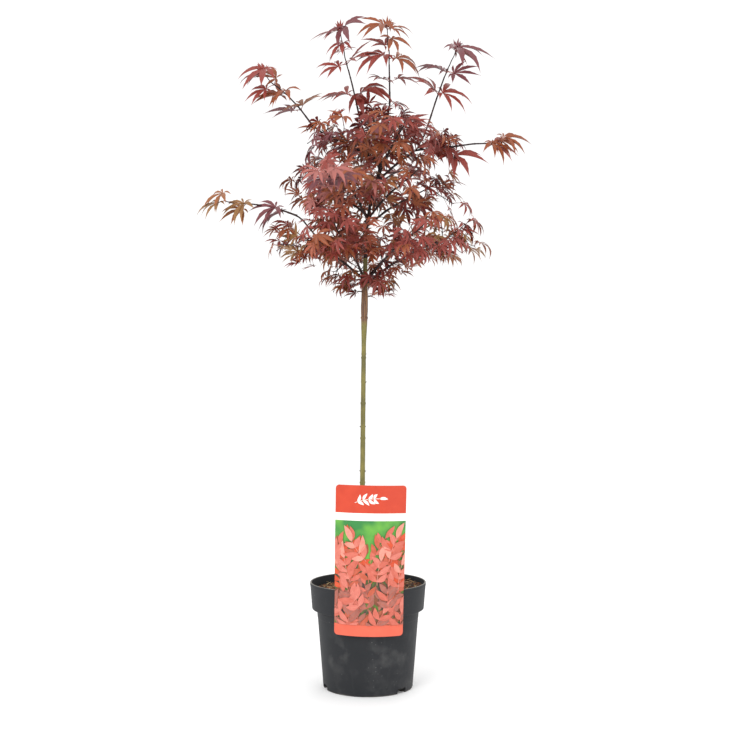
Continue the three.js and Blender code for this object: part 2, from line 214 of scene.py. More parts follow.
def swept(start, leaving, goal, arriving, count):
    """A smooth curve between two points that leaves and arrives in the given directions."""
    t = np.linspace(0, 1, count)[:, None]
    reach = np.linalg.norm(goal - start)
    a, b = leaving * reach, arriving * reach
    ends = (2 * t**3 - 3 * t**2 + 1) * start + (3 * t**2 - 2 * t**3) * goal
    return ends + (t**3 - 2 * t**2 + t) * a + (t**3 - t**2) * b


def rounded(corners, steps=5):
    """A profile of (x, y) points in which each (x, y, ease) corner is cut back by ease and rounded."""
    points = []
    count = len(corners)
    for k, corner in enumerate(corners):
        here = np.array(corner[:2], float)
        if len(corner) < 3 or k in (0, count - 1):
            points.append(here)
            continue
        before, after = (np.array(corners[j][:2], float) for j in (k - 1, k + 1))
        a, b = (here + unit(other - here) * corner[2] for other in (before, after))
        for t in np.linspace(0, 1, steps):
            points.append((1 - t) ** 2 * a + 2 * t * (1 - t) * here + t**2 * b)
    return np.array(points)


def lathe(profile, sides):
    """A profile of (radius, height) points, from the axis to the axis, turned about Z."""
    inner = profile[1:-1]
    angle = np.arange(sides) * 2 * math.pi / sides
    ring = np.stack([np.cos(angle), np.sin(angle)], 1)
    level = [np.column_stack([ring * r, np.full(sides, h)]) for r, h in inner]
    poles = [[0, 0, profile[0][1]], [0, 0, profile[-1][1]]]
    points = np.concatenate([*level, poles])
    k = np.arange(sides)
    after = (k + 1) % sides
    first, last = len(points) - 2, len(points) - 1
    top = (len(inner) - 1) * sides
    fans = np.concatenate([np.stack([np.full(sides, first), after, k], 1),
                           np.stack([np.full(sides, last), top + k, top + after], 1)])
    return points, grid_faces(len(inner), sides, wrap=True), fans


# ---------------------------------------------------------------- shader expressions


class Value:
    """A number that varies over a surface. Sums and products of Values add Math nodes to their tree."""

    def __init__(self, tree, socket):
        self.tree, self.socket = tree, socket

    def math(self, operation, *terms):
        """Adds a Math node."""
        step = self.tree.nodes.new("ShaderNodeMath")
        step.operation = operation
        for entry, term in zip(step.inputs, terms):
            plug(self.tree, entry, term)
        return Value(self.tree, step.outputs[0])

    def __add__(self, other):
        return self.math("ADD", self, other)

    def __sub__(self, other):
        return self.math("SUBTRACT", self, other)

    def __rsub__(self, other):
        return self.math("SUBTRACT", other, self)

    def __mul__(self, other):
        return self.math("MULTIPLY", self, other)

    def __truediv__(self, other):
        return self.math("DIVIDE", self, other)

    __radd__, __rmul__ = __add__, __mul__

    def between(self, low, high):
        """0 at low, 1 at high, a straight line between them and flat beyond."""
        share = (self - low) / (high - low)
        return self.math("MINIMUM", self.math("MAXIMUM", share, 0.0), 1.0)


def plug(tree, entry, term):
    """Links a Value or a socket to an input, or sets the input's own number, vector or colour."""
    if isinstance(term, Value):
        term = term.socket
    if isinstance(term, bpy.types.NodeSocket):
        tree.links.new(term, entry)
    elif entry.type == "RGBA":
        entry.default_value = (*colour(term), 1.0)
    else:
        entry.default_value = term


def colour(hexadecimal):
    """A screen colour such as 0x8C4038 as linear red, green and blue."""
    shares = [((hexadecimal >> shift) & 255) / 255 for shift in (16, 8, 0)]
    return tuple(s / 12.92 if s <= 0.04045 else ((s + 0.055) / 1.055) ** 2.4 for s in shares)


class Finish:
    """A material being made: a Principled surface and the nodes that feed it."""

    def __init__(self, name, base, roughness):
        self.material = bpy.data.materials.new(name)
        self.material.use_nodes = True
        self.tree = self.material.node_tree
        self.surface = self.tree.nodes["Principled BSDF"]
        self.set("Base Color", base)
        self.set("Roughness", roughness)
        self.place = None

    def set(self, socket, term):
        """Links or sets one of the surface's sockets."""
        plug(self.tree, self.surface.inputs[socket], term)

    def node(self, kind, settings=None, output=0, **sockets):
        """Adds a node. Its settings are set first, then its sockets, by name or as in_0, in_1 and so on."""
        step = self.tree.nodes.new("ShaderNode" + kind)
        for name, setting in (settings or {}).items():
            setattr(step, name, setting)
        for name, term in sockets.items():
            entry = step.inputs[int(name[3:])] if name.startswith("in_") else step.inputs[name]
            plug(self.tree, entry, term)
        return step.outputs[output]

    def position(self):
        """The object's own coordinates in metres."""
        if self.place is None:
            self.place = self.node("TexCoord", output=3)
        return self.place

    def height(self):
        """The height over the ground in metres."""
        return Value(self.tree, self.node("SeparateXYZ", output=2, Vector=self.position()))

    def stretched(self, x, y, z):
        """The coordinates scaled along each axis, for streaks."""
        return self.node("Mapping", Vector=self.position(), Scale=(x, y, z))

    def grain(self, scale, detail, roughness=0.55, vector=None):
        """Noise from 0 to 1 with about that many lumps to a metre."""
        place = vector or self.position()
        step = self.node("TexNoise", Vector=place, Scale=scale, Detail=detail, Roughness=roughness)
        return Value(self.tree, step)

    def cells(self, scale):
        """Distance from the middles of random cells, with about that many to a metre."""
        return Value(self.tree, self.node("TexVoronoi", Vector=self.position(), Scale=scale))

    def mix(self, share, first, second):
        """A blend of two colours, each a socket or a screen colour."""
        return self.node("Mix", {"data_type": "RGBA"}, 2, in_0=share, in_6=first, in_7=second)

    def bump(self, height, distance, strength):
        """Relief of about that distance in metres."""
        self.set("Normal", self.node("Bump", Strength=strength, Distance=distance, Height=height))


# ---------------------------------------------------------------- finishes of the plant

# Leaf tints, from shade, a brown of painted shade for sprays deep and low in the crown, to the palest
# sprays.
LEAF_TINTS = {
    "shade": 0x743722,
    "wine": 0x722D26,
    "plum": 0x713E42,
    "crimson": 0x873B33,
    "russet": 0x89482A,
    "rose": 0xA05F58,
    "coral": 0xA0563F,
    "copper": 0x905833,
    "bronze": 0x8A633C,
}
TINT_INDEX = {name: k for k, name in enumerate(LEAF_TINTS)}


def leaf_finish(name, tint):
    leaf = Finish("leaf_" + name, tint, 0.44)
    leaf.set("Specular IOR Level", 0.35)
    return leaf.material


def stalk_finish():
    """Thin leaf stalks, red with paler blotches."""
    stalk = Finish("leaf_stalk", 0x7E3B3E, 0.45)
    blotch = stalk.grain(60, 2.0)
    stalk.set("Base Color", stalk.mix(blotch.between(0.4, 0.6), 0x6B2C34, 0x9A5A50))
    stalk.set("Roughness", 0.3 + 0.3 * blotch)
    return stalk.material


# The heights between which the stem's corky foot ends, and its corky graft begins and ends.
CORK_FOOT, CORK_FROM, CORK_TO = (0.165, 0.2), (0.596, 0.606), (0.664, 0.672)


def stem_finish():
    """The stem's smooth green bark: brown and corky at the foot and the graft, streaked and freckled."""
    bark = Finish("green_bark", 0x7F763C, 0.5)
    streak = bark.grain(1.0, 4.0, 0.6, bark.stretched(420, 420, 26))
    blotch = bark.grain(34, 3.0)
    pores = bark.cells(420)
    height = bark.height()
    foot = 1 - height.between(*CORK_FOOT)
    ragged = height + 0.012 * blotch
    graft = ragged.between(*CORK_FROM) * (1 - ragged.between(*CORK_TO))
    brown = foot.math("MAXIMUM", foot, graft)
    green = bark.mix(blotch.between(0.38, 0.64), 0x766D2F, 0x5A5523)
    green = bark.mix(streak.between(0.5, 0.72) * 0.75, green, 0x504622)
    cork = bark.mix(streak.between(0.36, 0.6), 0x86623F, 0x4E3324)
    base = bark.mix((brown * 0.95 + blotch * 0.3 - 0.14).between(0.1, 0.9), green, cork)
    bark.set("Base Color", bark.mix((1 - pores.between(0.1, 0.2)) * 0.3, base, 0x989060))
    bark.set("Roughness", 0.4 + 0.2 * blotch + 0.15 * brown)
    bark.bump(streak + 0.6 * pores, 0.0005, 0.7)
    return bark.material


def young_bark_finish():
    """Purple-brown bark of the boughs and shoots, with pale pores and a grey bloom in patches."""
    bark = Finish("young_bark", 0x4A2A2C, 0.45)
    streak = bark.grain(1.0, 4.0, 0.6, bark.stretched(300, 300, 300))
    blotch = bark.grain(45, 3.0)
    pores = bark.cells(520)
    base = bark.mix(blotch.between(0.35, 0.65), 0x34201C, 0x22141A)
    base = bark.mix(streak.between(0.55, 0.8) * 0.5, base, 0x4E4034)
    bark.set("Base Color", bark.mix((1 - pores.between(0.08, 0.16)) * 0.3, base, 0x7A685C))
    bark.set("Roughness", 0.45 + 0.25 * blotch)
    bark.set("Specular IOR Level", 0.3)
    bark.bump(streak, 0.0003, 0.5)
    return bark.material


# ---------------------------------------------------------------- limbs, read from their solids

TOUCH = 6 * MM  # how near a limb's end lies to the mass that it enters or springs from
RING_SPACE = 1.1 * MM  # between the rings of points of a limb's bark
# Rings round the bark at each leaf node: how far beyond it they are, how wide and how high.
NODE_RINGS = ((0, 1.5 * MM, 0.16), (2.6 * MM, MM, -0.05))


def solid_of(node):
    """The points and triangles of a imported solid."""
    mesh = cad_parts[node].data
    points = np.zeros(len(mesh.vertices) * 3, np.float32)
    mesh.vertices.foreach_get("co", points)
    mesh.calc_loop_triangles()
    triangles = np.zeros(len(mesh.loop_triangles) * 3, np.int32)
    mesh.loop_triangles.foreach_get("vertices", triangles)
    return points.reshape(-1, 3).astype(float), triangles.reshape(-1, 3)


class Limb:
    """A limb's middle line and radii from its thick end to its thin one, found by slicing its solid."""

    STEPS = 60

    def __init__(self, node, margin=0.14, slices=9):
        """The slices are evenly spread between the margins, which are shares of the length."""
        self.node = node
        points, triangles = solid_of(node)
        axis = np.linalg.svd(points - points.mean(0), full_matrices=False)[2][0]
        reach = points @ axis
        edges = np.concatenate([triangles[:, [0, 1]], triangles[:, [1, 2]], triangles[:, [2, 0]]])
        a, b = points[edges[:, 0]], points[edges[:, 1]]
        centres, radii = [], []
        for share in np.linspace(margin, 1 - margin, slices):
            level = reach.min() + share * np.ptp(reach)
            above, below = a @ axis - level, b @ axis - level
            crossing = above * below < 0
            t = (above[crossing] / (above - below)[crossing])[:, None]
            cuts = a[crossing] + t * (b - a)[crossing]
            centres.append(cuts.mean(0))
            radii.append(np.linalg.norm(cuts - cuts.mean(0), axis=1).mean())
        # The slanting cuts at the ends are left out, and the line is run on over them.
        run = margin / (1 - 2 * margin) * (slices - 1)
        first = centres[0] + (centres[0] - centres[1]) * run
        last = centres[-1] + (centres[-1] - centres[-2]) * run
        centres, radii = np.array([first, *centres, last]), np.array([radii[0], *radii, radii[-1]])
        if np.polyfit(np.arange(len(radii)), radii, 1)[0] > 0:
            centres, radii = centres[::-1], radii[::-1]
        source = along(centres)
        self.path, even = resampled(smoothed(centres, 1), self.STEPS)
        self.radii = np.interp(even / even[-1], source / source[-1], radii)

    def way(self, end):
        """The limb's direction at its foot, 0, or its tip, -1."""
        return unit(self.path[3] - self.path[0]) if end == 0 else unit(self.path[-1] - self.path[-4])

    def lengthened(self, back, on):
        """The path and radii run on past both ends, into what the limb joins."""
        head = self.path[0] - self.way(0) * back
        tail = self.path[-1] + self.way(-1) * on
        radii = np.array([self.radii[0], *self.radii, self.radii[-1]])
        return np.array([head, *self.path, tail]), radii


def bark_tube(path, radii, sides, spacing, collar, relief):
    """A rod with bark: a swelling and a groove at each leaf node, low ridges along it, a thicker foot."""
    count = max(16, int(along(path)[-1] / RING_SPACE))
    dense, at = resampled(path, count)
    source = along(path)
    radius = np.interp(at, source, radii)
    radius = radius * (1 + collar * np.exp(-at / (4 * MM)))
    nodes = np.arange(0.6 * spacing, at[-1] - 0.2 * spacing, spacing)
    for node in nodes + dice.uniform(-0.12, 0.12, len(nodes)) * spacing:
        for beyond, width, swell in NODE_RINGS:
            radius = radius * (1 + swell * np.exp(-(((at - node - beyond) / width) ** 2)))
    skin, _, _ = tube(dense, radius, sides)
    ridges = ruffle(skin * np.array([1, 1, 0.2]), 1.8 * MM).reshape(count, sides)
    lumps = ruffle(skin, 8 * MM, 7).reshape(count, sides)
    return tube(dense, radius[:, None] * (1 + relief * ridges + 0.5 * relief * lumps), sides)


def bud(batch, place, way, length, material=0):
    """A small pointed bud on the bark."""
    path = place + way * np.linspace(-0.4, 1, 6)[:, None] * length
    batch.add(*tube(path, length * np.array([0.36, 0.42, 0.42, 0.34, 0.2, 0.03]), 7), material=material)


# ---------------------------------------------------------------- leaves

# Each pair of lobes: its angle from the middle lobe in degrees, and its length as a share of it.
LOBES = ((0, 1.0), (36, 0.93), (75, 0.74), (122, 0.4))
LOBE_HALF_WIDTH = 0.093  # as a share of the lobe's length
STATIONS = 12  # points along a lobe
LEAF_VARIANTS = 20
# How the lobes differ: the least and most of their length, how far their angle strays in degrees, how far
# they sweep forward and bend aside towards their tips, how steeply they start and how much they droop.
LOBE_LENGTH, LOBE_STRAY, LOBE_SWEEP = (0.88, 1.08), 6, 0.2
LOBE_BEND, LOBE_PITCH, LOBE_DROOP = 0.3, (0.05, 0.4), (0.7, 1.3)
TOOTH = 0.86  # the width between teeth, as a share of the full width
HEART = 0.3  # where the middle of a leaf is, as a share of its length


def lobe_half_width(t):
    """Half a lobe's width along its length: narrow at the foot, toothed, and drawn out to a thin tip."""
    body = np.sin(math.pi * t**0.9) ** 1.7 * (1.2 - 0.35 * t)
    teeth = np.where((np.arange(len(t)) % 2 == 1) & (t > 0.2) & (t < 0.85), TOOTH, 1.0)
    return LOBE_HALF_WIDTH * (0.16 * (1 - t) + body * teeth)


def leaf_shape(droop, fold):
    """A leaf whose middle lobe is of length 1 and runs along +Y from the stalk, with +Z its upper side."""
    points, faces = [], []
    t = np.linspace(0, 1, STATIONS)
    for angle, share in LOBES:
        for side in (1,) if angle == 0 else (-1, 1):
            length = share * dice.uniform(*LOBE_LENGTH)
            azimuth = math.radians(side * angle + dice.uniform(-LOBE_STRAY, LOBE_STRAY))
            bend = dice.uniform(-LOBE_BEND, LOBE_BEND)
            heading = azimuth - side * math.radians(angle) * LOBE_SWEEP * t + bend * t
            pitch = dice.uniform(*LOBE_PITCH) - droop * dice.uniform(*LOBE_DROOP) * t**1.2
            level = np.cos(pitch)
            ahead = np.stack([np.sin(heading) * level, np.cos(heading) * level, np.sin(pitch)], 1)
            across = np.stack([np.cos(heading), -np.sin(heading), 0 * t], 1)
            above = np.cross(across, ahead)
            line = np.concatenate([[[0, 0, 0]], np.cumsum(ahead[:-1], axis=0)]) * length / (STATIONS - 1)
            width = (lobe_half_width(t) * length)[:, None]
            lift = above * fold * width
            strip = np.stack([line - across * width + lift, line, line + across * width + lift], 1)
            faces.append(grid_faces(STATIONS, 3) + len(points) * STATIONS * 3)
            points.append(strip.reshape(-1, 3))
    return np.concatenate(points), np.concatenate(faces)


DROOPS = np.linspace(0.25, 1.7, LEAF_VARIANTS)  # the shapes hang more and more from first to last
FOLDS = (0.25, 0.8)  # the least and most that the edges of a lobe are raised, as a share of its half width
LEAF_SHAPES = [leaf_shape(droop, dice.uniform(*FOLDS)) for droop in DROOPS]


class Leaf:
    """A leaf in its place: at the end of its stalk, with its heading, upper side, length and shape."""

    def __init__(self, place, heading, facing, length, shape):
        self.length, self.shape = length, shape
        above = unit(facing)
        ahead = square_to(heading, above)
        points = LEAF_SHAPES[shape][0] @ np.stack([np.cross(ahead, above), ahead, above])
        self.points = place + points * length
        self.heart = place + ahead * length * HEART

    def tips(self):
        """The far end of each lobe."""
        return self.points[STATIONS * 3 - 2 :: STATIONS * 3]


# ---------------------------------------------------------------- masses of foliage

SKEW = Vector((0.31, 0.17, 0.93)).normalized()  # the way of the lines that tell inside from outside
ON = 1e-6  # how far such a line starts beyond the surface that it crossed
CHOICES = 30  # how many places in a mass there are to choose from for each one that is picked
DARTS, FEW = 200, 10  # random places at a time, and how few of them in the mass call for a smaller margin


class Mass:
    """The room that a spray of twigs and leaves is grown into."""

    def __init__(self, node):
        self.node = node
        self.name = node.removeprefix("leaves_")
        points, triangles = solid_of(node)
        self.surface = BVHTree.FromPolygons(points.tolist(), triangles.tolist())
        self.low, self.high = points.min(0), points.max(0)
        self.centre = (self.low + self.high) / 2

    def holds(self, point):
        """Whether a point is inside, by how often a line from it crosses the surface."""
        if (point < self.low).any() or (point > self.high).any():
            return False
        start, crossings = Vector(point), 0
        while start is not None:
            start = self.surface.ray_cast(start, SKEW)[0]
            if start is not None:
                start = start + SKEW * ON
                crossings += 1
        return crossings % 2 == 1

    def depth(self, point):
        """How deep inside its surface a point is, or how far outside as a negative number."""
        distance = self.surface.find_nearest(Vector(point))[3]
        return distance if self.holds(point) else -distance

    def filled(self, count, margin):
        """Points spread evenly through the mass, at least the margin inside it if there is room."""
        choices = []
        while len(choices) < CHOICES * count:
            found = [p for p in dice.uniform(self.low, self.high, (DARTS, 3)) if self.depth(p) > margin]
            choices.extend(found)
            if len(found) < FEW:
                margin -= 2 * MM
        choices = np.array(choices)
        picked = [choices[0]]
        while len(picked) < count:
            gaps = np.linalg.norm(choices[:, None] - np.array(picked), axis=2).min(1)
            picked.append(choices[gaps.argmax()])
        return picked


def crown_depth(masses, point, reach):
    """How deep a point is in all the foliage, or how far outside it, looking no further than reach."""
    near = [m for m in masses if (point > m.low - reach).all() and (point < m.high + reach).all()]
    return max((m.depth(point) for m in near), default=-1.0)


# ---------------------------------------------------------------- growing twigs


class Wood:
    """What new twigs can spring from: points along limbs and twigs, with the way each runs there."""

    def __init__(self):
        self.points, self.ways, self.radii = [], [], []

    def add(self, path, radii, since=0):
        """Adds a path, from its point of that number on."""
        self.points.extend(path[since:])
        self.ways.extend(unit(np.gradient(path, axis=0))[since:])
        self.radii.extend(radii[since:])

    def nearest(self, goal):
        """The point from which a twig reaches the goal with little length and little turning back."""
        step = goal - np.array(self.points)
        reach = np.linalg.norm(step, axis=1)
        ahead = np.einsum("ij,ij->i", step, np.array(self.ways)) / np.maximum(reach, MM)
        best = (reach * (1.5 - 0.5 * ahead)).argmin()
        return self.points[best], self.ways[best], self.radii[best]


class Twig:
    """A twig's path and thickness, the mass that its leaves belong to, and where its leaf nodes are."""

    def __init__(self, mass, path, foot_radius, tip_radius, habit):
        self.mass, self.path, self.habit, self.at = mass, path, habit, along(path)
        self.radii = np.linspace(foot_radius, tip_radius, len(path))
        self.length = self.at[-1]
        self.nodes = []

    def noded(self, first, spacing):
        """Gives the twig leaf nodes about that far apart, with one at its tip."""
        room = max(self.length - first, 0)
        count = int(room / spacing + 0.5)
        self.nodes = [first + room * k / count for k in range(count)] + [self.length]
        return self

    def point(self, at):
        """The place at a distance from the foot."""
        return np.array([np.interp(at, self.at, self.path[:, k]) for k in range(3)])

    def way(self, at):
        """The direction that the twig runs in there."""
        return unit(self.point(min(at + 2 * MM, self.length)) - self.point(max(at - 2 * MM, 0)))

    def rod(self, sides):
        """The twig's shape, with a slight swelling at each leaf node."""
        radii = self.radii.copy()
        for node in self.nodes:
            radii *= 1 + 0.3 * np.exp(-(((self.at - node) / (1.6 * MM)) ** 2))
        return tube(self.path, radii, sides)


TWIG_STEP = 2.5 * MM  # between the points of a twig's path
CROOK, CROOK_SCALE = 2 * MM, 14 * MM  # how far twigs wander, and over what length


def twig_path(start, leaving, goal, arriving):
    """A curve with the slight crookedness of a twig that grew from bud to bud."""
    count = max(6, int(np.linalg.norm(goal - start) / TWIG_STEP))
    path = swept(start, leaving, goal, arriving, count)
    fade = np.sin(np.linspace(0, math.pi, count))[:, None]
    seed = dice.uniform(0, 100)
    crook = np.stack([ruffle(path, CROOK_SCALE, seed + 10 * k) for k in range(3)], 1)
    return path + crook * fade * CROOK


LEVEL = np.array([1, 1, 0])
crown_axis = np.mean(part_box("leader"), axis=0) * LEVEL
NEAR_AXIS = 30 * MM  # nearer the middle than this the direction is shorter
PAIR_STRAY = 0.4  # how far the next pair of twigs or leaves strays from square to the last, in radians


def outward(point):
    """The level direction away from the middle of the crown."""
    way = (point - crown_axis) * LEVEL
    return way / max(np.linalg.norm(way), NEAR_AXIS)


def growth(**own):
    """How one kind of mass grows, by what differs from the common habit. Its twigs: how many there are
    beside the main one, how far inside the surface they end, how far the main one runs past the middle,
    the first leaf node and the space between nodes. Its leaves: their length, their stalks', how far the
    stalks rise, how far leaves face away from the middle of the crown, face the front, are tilted at random
    and hang, which shapes they have, and how far they may stand out. In a collar, where the shoot's one
    pair of leaves is: as a share of half its run in the collar, and moved on by a distance."""
    common = dict(twigs=0, margin=0.012, beyond=0.35, first=0.012, spacing=0.024, stalk=(0.010, 0.018),
                  rise=(0.0, 0.3), face=(0.1, 0.5), front=0.2, skew=0.3, hang=0.3, overhang=0.024,
                  middle=1.0, moved=0.0)
    return {**common, **own}


HABITS = {
    "tier": growth(twigs=6, leaf=0.041, stalk=(0.012, 0.024), rise=(0.0, 0.6), face=(0.1, 1.2), front=0.1,
                   skew=0.8, hang=0.4, shapes=(0, 15), overhang=0.015),
    "hanging": growth(twigs=6, leaf=0.044, stalk=(0.010, 0.020), rise=(-0.3, 0.4), face=(0.3, 1.4),
                      skew=0.5, hang=1.6, shapes=(4, 20), overhang=0.016),
    "skirt": growth(twigs=5, margin=0.008, first=0.010, spacing=0.02, leaf=0.034, rise=(-0.3, 0.3),
                    face=(0.2, 1.2), skew=0.6, hang=0.8, shapes=(2, 18), overhang=0.006),
    "tip": growth(beyond=0.6, spacing=0.030, leaf=0.066, stalk=(0.008, 0.016), rise=(0.0, 0.35),
                  face=(0.1, 0.6), front=0.75, hang=0.6, shapes=(2, 13)),
    "broad_tip": growth(twigs=2, margin=0.020, beyond=0.5, leaf=0.050, stalk=(0.010, 0.020),
                        rise=(0.0, 0.4), face=(0.1, 0.8), front=0.5, hang=0.9, shapes=(4, 16),
                        overhang=0.018),
    "long_tip": growth(beyond=0.1, spacing=0.030, leaf=0.068, stalk=(0.010, 0.020), rise=(0.0, 0.4),
                       face=(0.3, 0.9), front=0.8, skew=0.25, hang=1.6, shapes=(6, 16), overhang=0.016),
    "reaching_tip": growth(beyond=-0.4, first=0.002, spacing=0.016, leaf=0.056, rise=(0.0, 0.4), front=0.7,
                           skew=0.2, hang=0.8, shapes=(6, 16), overhang=0.020),
    "collar": growth(leaf=0.063, face=(0.1, 0.7), front=0.75, skew=0.25, hang=0.7, shapes=(4, 15)),
    "small_collar": growth(leaf=0.042, skew=0.2, shapes=(2, 10), overhang=0.020),
    "flat_collar": growth(leaf=0.062, face=(0.0, 0.3), front=0.15, skew=0.15, shapes=(2, 10)),
    "low_collar": growth(leaf=0.046, rise=(-0.1, 0.2), face=(0.3, 0.9), front=0.5, hang=1.6, shapes=(4, 14),
                         middle=0.6),
    "hanging_collar": growth(leaf=0.058, rise=(-0.2, 0.2), face=(0.2, 0.8), front=1.0, hang=2.2,
                             shapes=(2, 12), overhang=0.032, middle=0.6, moved=-0.020),
    "inner": growth(leaf=0.028, stalk=(0.010, 0.020), rise=(-0.3, 0.7), face=(0.0, 1.2), front=0.0,
                    skew=0.9, hang=0.6, shapes=(0, 18), overhang=0.030),
}
# The habit of each mass, by the start of its name.
HABIT_BY_PLACE = {
    "skirt": "skirt",
    "lower_right": "hanging",
    "lower_front_right": "hanging",
    "lower": "tier",
    "middle": "tier",
    "upper": "tier",
    "top_left_collar": "collar",
    "top_centre_collar": "small_collar",
    "top_right_collar": "collar",
    "top_": "tip",
    "top": "tier",
    "high_left_collar": "flat_collar",
    "high_left": "tip",
    "far_left_collar": "low_collar",
    "far_left": "long_tip",
    "far_right_collar": "hanging_collar",
    "far_right": "reaching_tip",
    "": "broad_tip",
}
# How many more twigs a mass bears than its habit says.
EXTRA_TWIGS = {
    "middle_front_left": 6,
    "middle_front_right": -4,
    "middle_left": 2,
    "middle_right": 1,
    "middle_back": -4,
    "front_left": 2,
    "lower_front_left": 10,
    "lower_front_right": -2,
    "lower_left": 3,
    "lower_right": 4,
    "lower_back_left": 1,
    "lower_back_right": 1,
    "upper_left": 3,
    "upper_right": 1,
    "upper_front": 2,
    "upper_back": -2,
    "top": 1,
}
SKIRT_HOLD = 12 * MM  # how near the skirt a bough has to pass to bear its twigs
LEAD_IN = 55 * MM  # how far back from a shoot's foot the wood that it springs from is looked for
SHORTEST = 10 * MM  # the shortest twig that is kept
MAIN_TIP = 0.75 * MM  # the radius at the tip of the twig that carries a limb on
TWIG_TIP = 0.55 * MM  # and at the tips of the others
TWIG_FOOT = (0.95, 1.3)  # the least and most of their radius at the foot, in millimetres


def habit_of(mass):
    return HABITS[by_start(HABIT_BY_PLACE, mass.name)]


def grow_on(limb, mass, habit):
    """The twig that carries a limb on into its mass."""
    way = limb.way(-1)
    tip = limb.path[-1]
    heart = mass.centre + (mass.centre - tip) * habit["beyond"] + UP * 4 * MM
    path = twig_path(tip - way * MM, way, heart, unit(heart - tip + UP * 0.02))
    return Twig(mass, path, limb.radii[-1], MAIN_TIP, habit).noded(habit["first"], habit["spacing"])


def grow_mass(mass, limbs):
    """Twigs through a mass: one on from the limb that enters it, one to each shoot that leaves it, and
    more to points spread through it, each from the nearest wood."""
    habit, wood, twigs = habit_of(mass), Wood(), []
    entering = [limb for limb in limbs if limb.node != "trunk" and mass.depth(limb.path[-1]) > -TOUCH]
    shoots = [limb for limb in limbs if limb.node.startswith("shoot")]
    leaving = [shoot for shoot in shoots if mass.depth(shoot.path[0]) > -TOUCH]
    if mass.name.startswith("skirt"):
        for limb in limbs:
            for k in range(2, Limb.STEPS - 1, 3):
                if mass.depth(limb.path[k]) > -SKIRT_HOLD:
                    wood.add(limb.path[k - 1 : k + 2], limb.radii[k - 1 : k + 2])
    else:
        twigs.append(grow_on(entering[0], mass, habit))
        wood.add(twigs[0].path, twigs[0].radii, since=3)
    for shoot in leaving:
        foot, way = shoot.path[0], shoot.way(0)
        start, heading, radius = wood.nearest(foot - way * LEAD_IN)
        path = twig_path(start, unit(unit(foot - start) + 0.4 * heading), foot + way * MM, way)
        twigs.append(Twig(mass, path, max(radius, shoot.radii[0]), shoot.radii[0], habit))
        wood.add(path, twigs[-1].radii, since=3)
    count = habit["twigs"] + EXTRA_TWIGS.get(mass.name, 0)
    goals = mass.filled(count, habit["margin"]) if count else []
    root = twigs[0].path[0] if twigs else crown_axis + UP * mass.centre[2]
    for goal in sorted(goals, key=lambda g: np.linalg.norm(g - root)):
        start, way, radius = wood.nearest(goal)
        step = unit(goal - start)
        arriving = unit(step + 0.5 * outward(goal) + UP * dice.uniform(-0.3, 0.3))
        path = twig_path(start, unit(way * 0.6 + step), goal, arriving)
        if along(path)[-1] > SHORTEST:
            twig = Twig(mass, path, min(radius, dice.uniform(*TWIG_FOOT) * MM), TWIG_TIP, habit)
            twigs.append(twig.noded(habit["first"], habit["spacing"]))
            wood.add(twig.path, twig.radii, since=3)
    return twigs


# How far along each kind of limb its short inner twigs start, and the space between them.
INNER_TWIGS = {
    "bough_lower": (24 * MM, 30 * MM),
    "bough": (24 * MM, 42 * MM),
    "leader": (14 * MM, 36 * MM),
}
# The heights up to which boughs are bare.
BARE_BELOW = {"bough_lower_left": 0.712, "bough_lower_right": 0.712, "": 0.684}
GRAFT_TWIGS = 5
GRAFT = (0.646, 0.682)  # the heights between which they spring from the stem
# Measures of both kinds of short twig in millimetres: the least and most that they reach and rise, their
# radii at the foot and the tip, the first leaf node and the space between nodes.
INNER = {"reach": (16, 38), "rise": (-4, 8), "radii": (0.9, 0.5), "nodes": (20, 17)}
AT_GRAFT = {"reach": (22, 36), "rise": (-8, 6), "radii": (1.1, 0.6), "nodes": (12, 14)}


def short_twig(mass, habit, measures, start, out, leaving, arriving):
    """A short leafy twig that reaches out from bare wood."""
    reach, rise = (dice.uniform(*measures[name]) for name in ("reach", "rise"))
    foot, tip = measures["radii"]
    first, spacing = measures["nodes"]
    path = twig_path(start, leaving, start + out * reach * MM + UP * rise * MM, arriving)
    return Twig(mass, path, foot * MM, tip * MM, HABITS[habit]).noded(first * MM, spacing * MM)


def grow_inner(limb, mass):
    """Twigs in pairs along a bare stretch of a limb."""
    twigs, axis = [], Twig(mass, limb.path, 0, 0, HABITS["inner"])
    first, spacing = by_start(INNER_TWIGS, limb.node)
    around = dice.uniform(0, math.pi)
    for at in np.arange(first, axis.length, spacing):
        way, start = axis.way(at), axis.point(at)
        if start[2] < by_start(BARE_BELOW, limb.node):
            continue
        for turn in (around, around + math.pi):
            side = turned(square_to(UP if abs(way[2]) < 0.9 else FRONT, way), way, turn)
            leaving = unit(side + 0.7 * way + 0.3 * UP)
            twigs.append(short_twig(mass, "inner", INNER, start, leaving, leaving, leaving))
        around += math.pi / 2 + dice.uniform(-PAIR_STRAY, PAIR_STRAY)
    return twigs


def grow_at_graft(trunk, skirt):
    """Twigs all round the top of the stem, just over the graft."""
    twigs = []
    for k in range(GRAFT_TWIGS):
        turn = (k + dice.uniform(0, 0.5)) * 2 * math.pi / GRAFT_TWIGS
        out = np.array([math.cos(turn), math.sin(turn), 0])
        start = trunk.path[np.abs(trunk.path[:, 2] - dice.uniform(*GRAFT)).argmin()]
        leaving, arriving = unit(out + 0.5 * UP), unit(out - 0.2 * UP)
        twigs.append(short_twig(skirt, "skirt", AT_GRAFT, start, out, leaving, arriving))
    return twigs


# ---------------------------------------------------------------- dealing out leaves

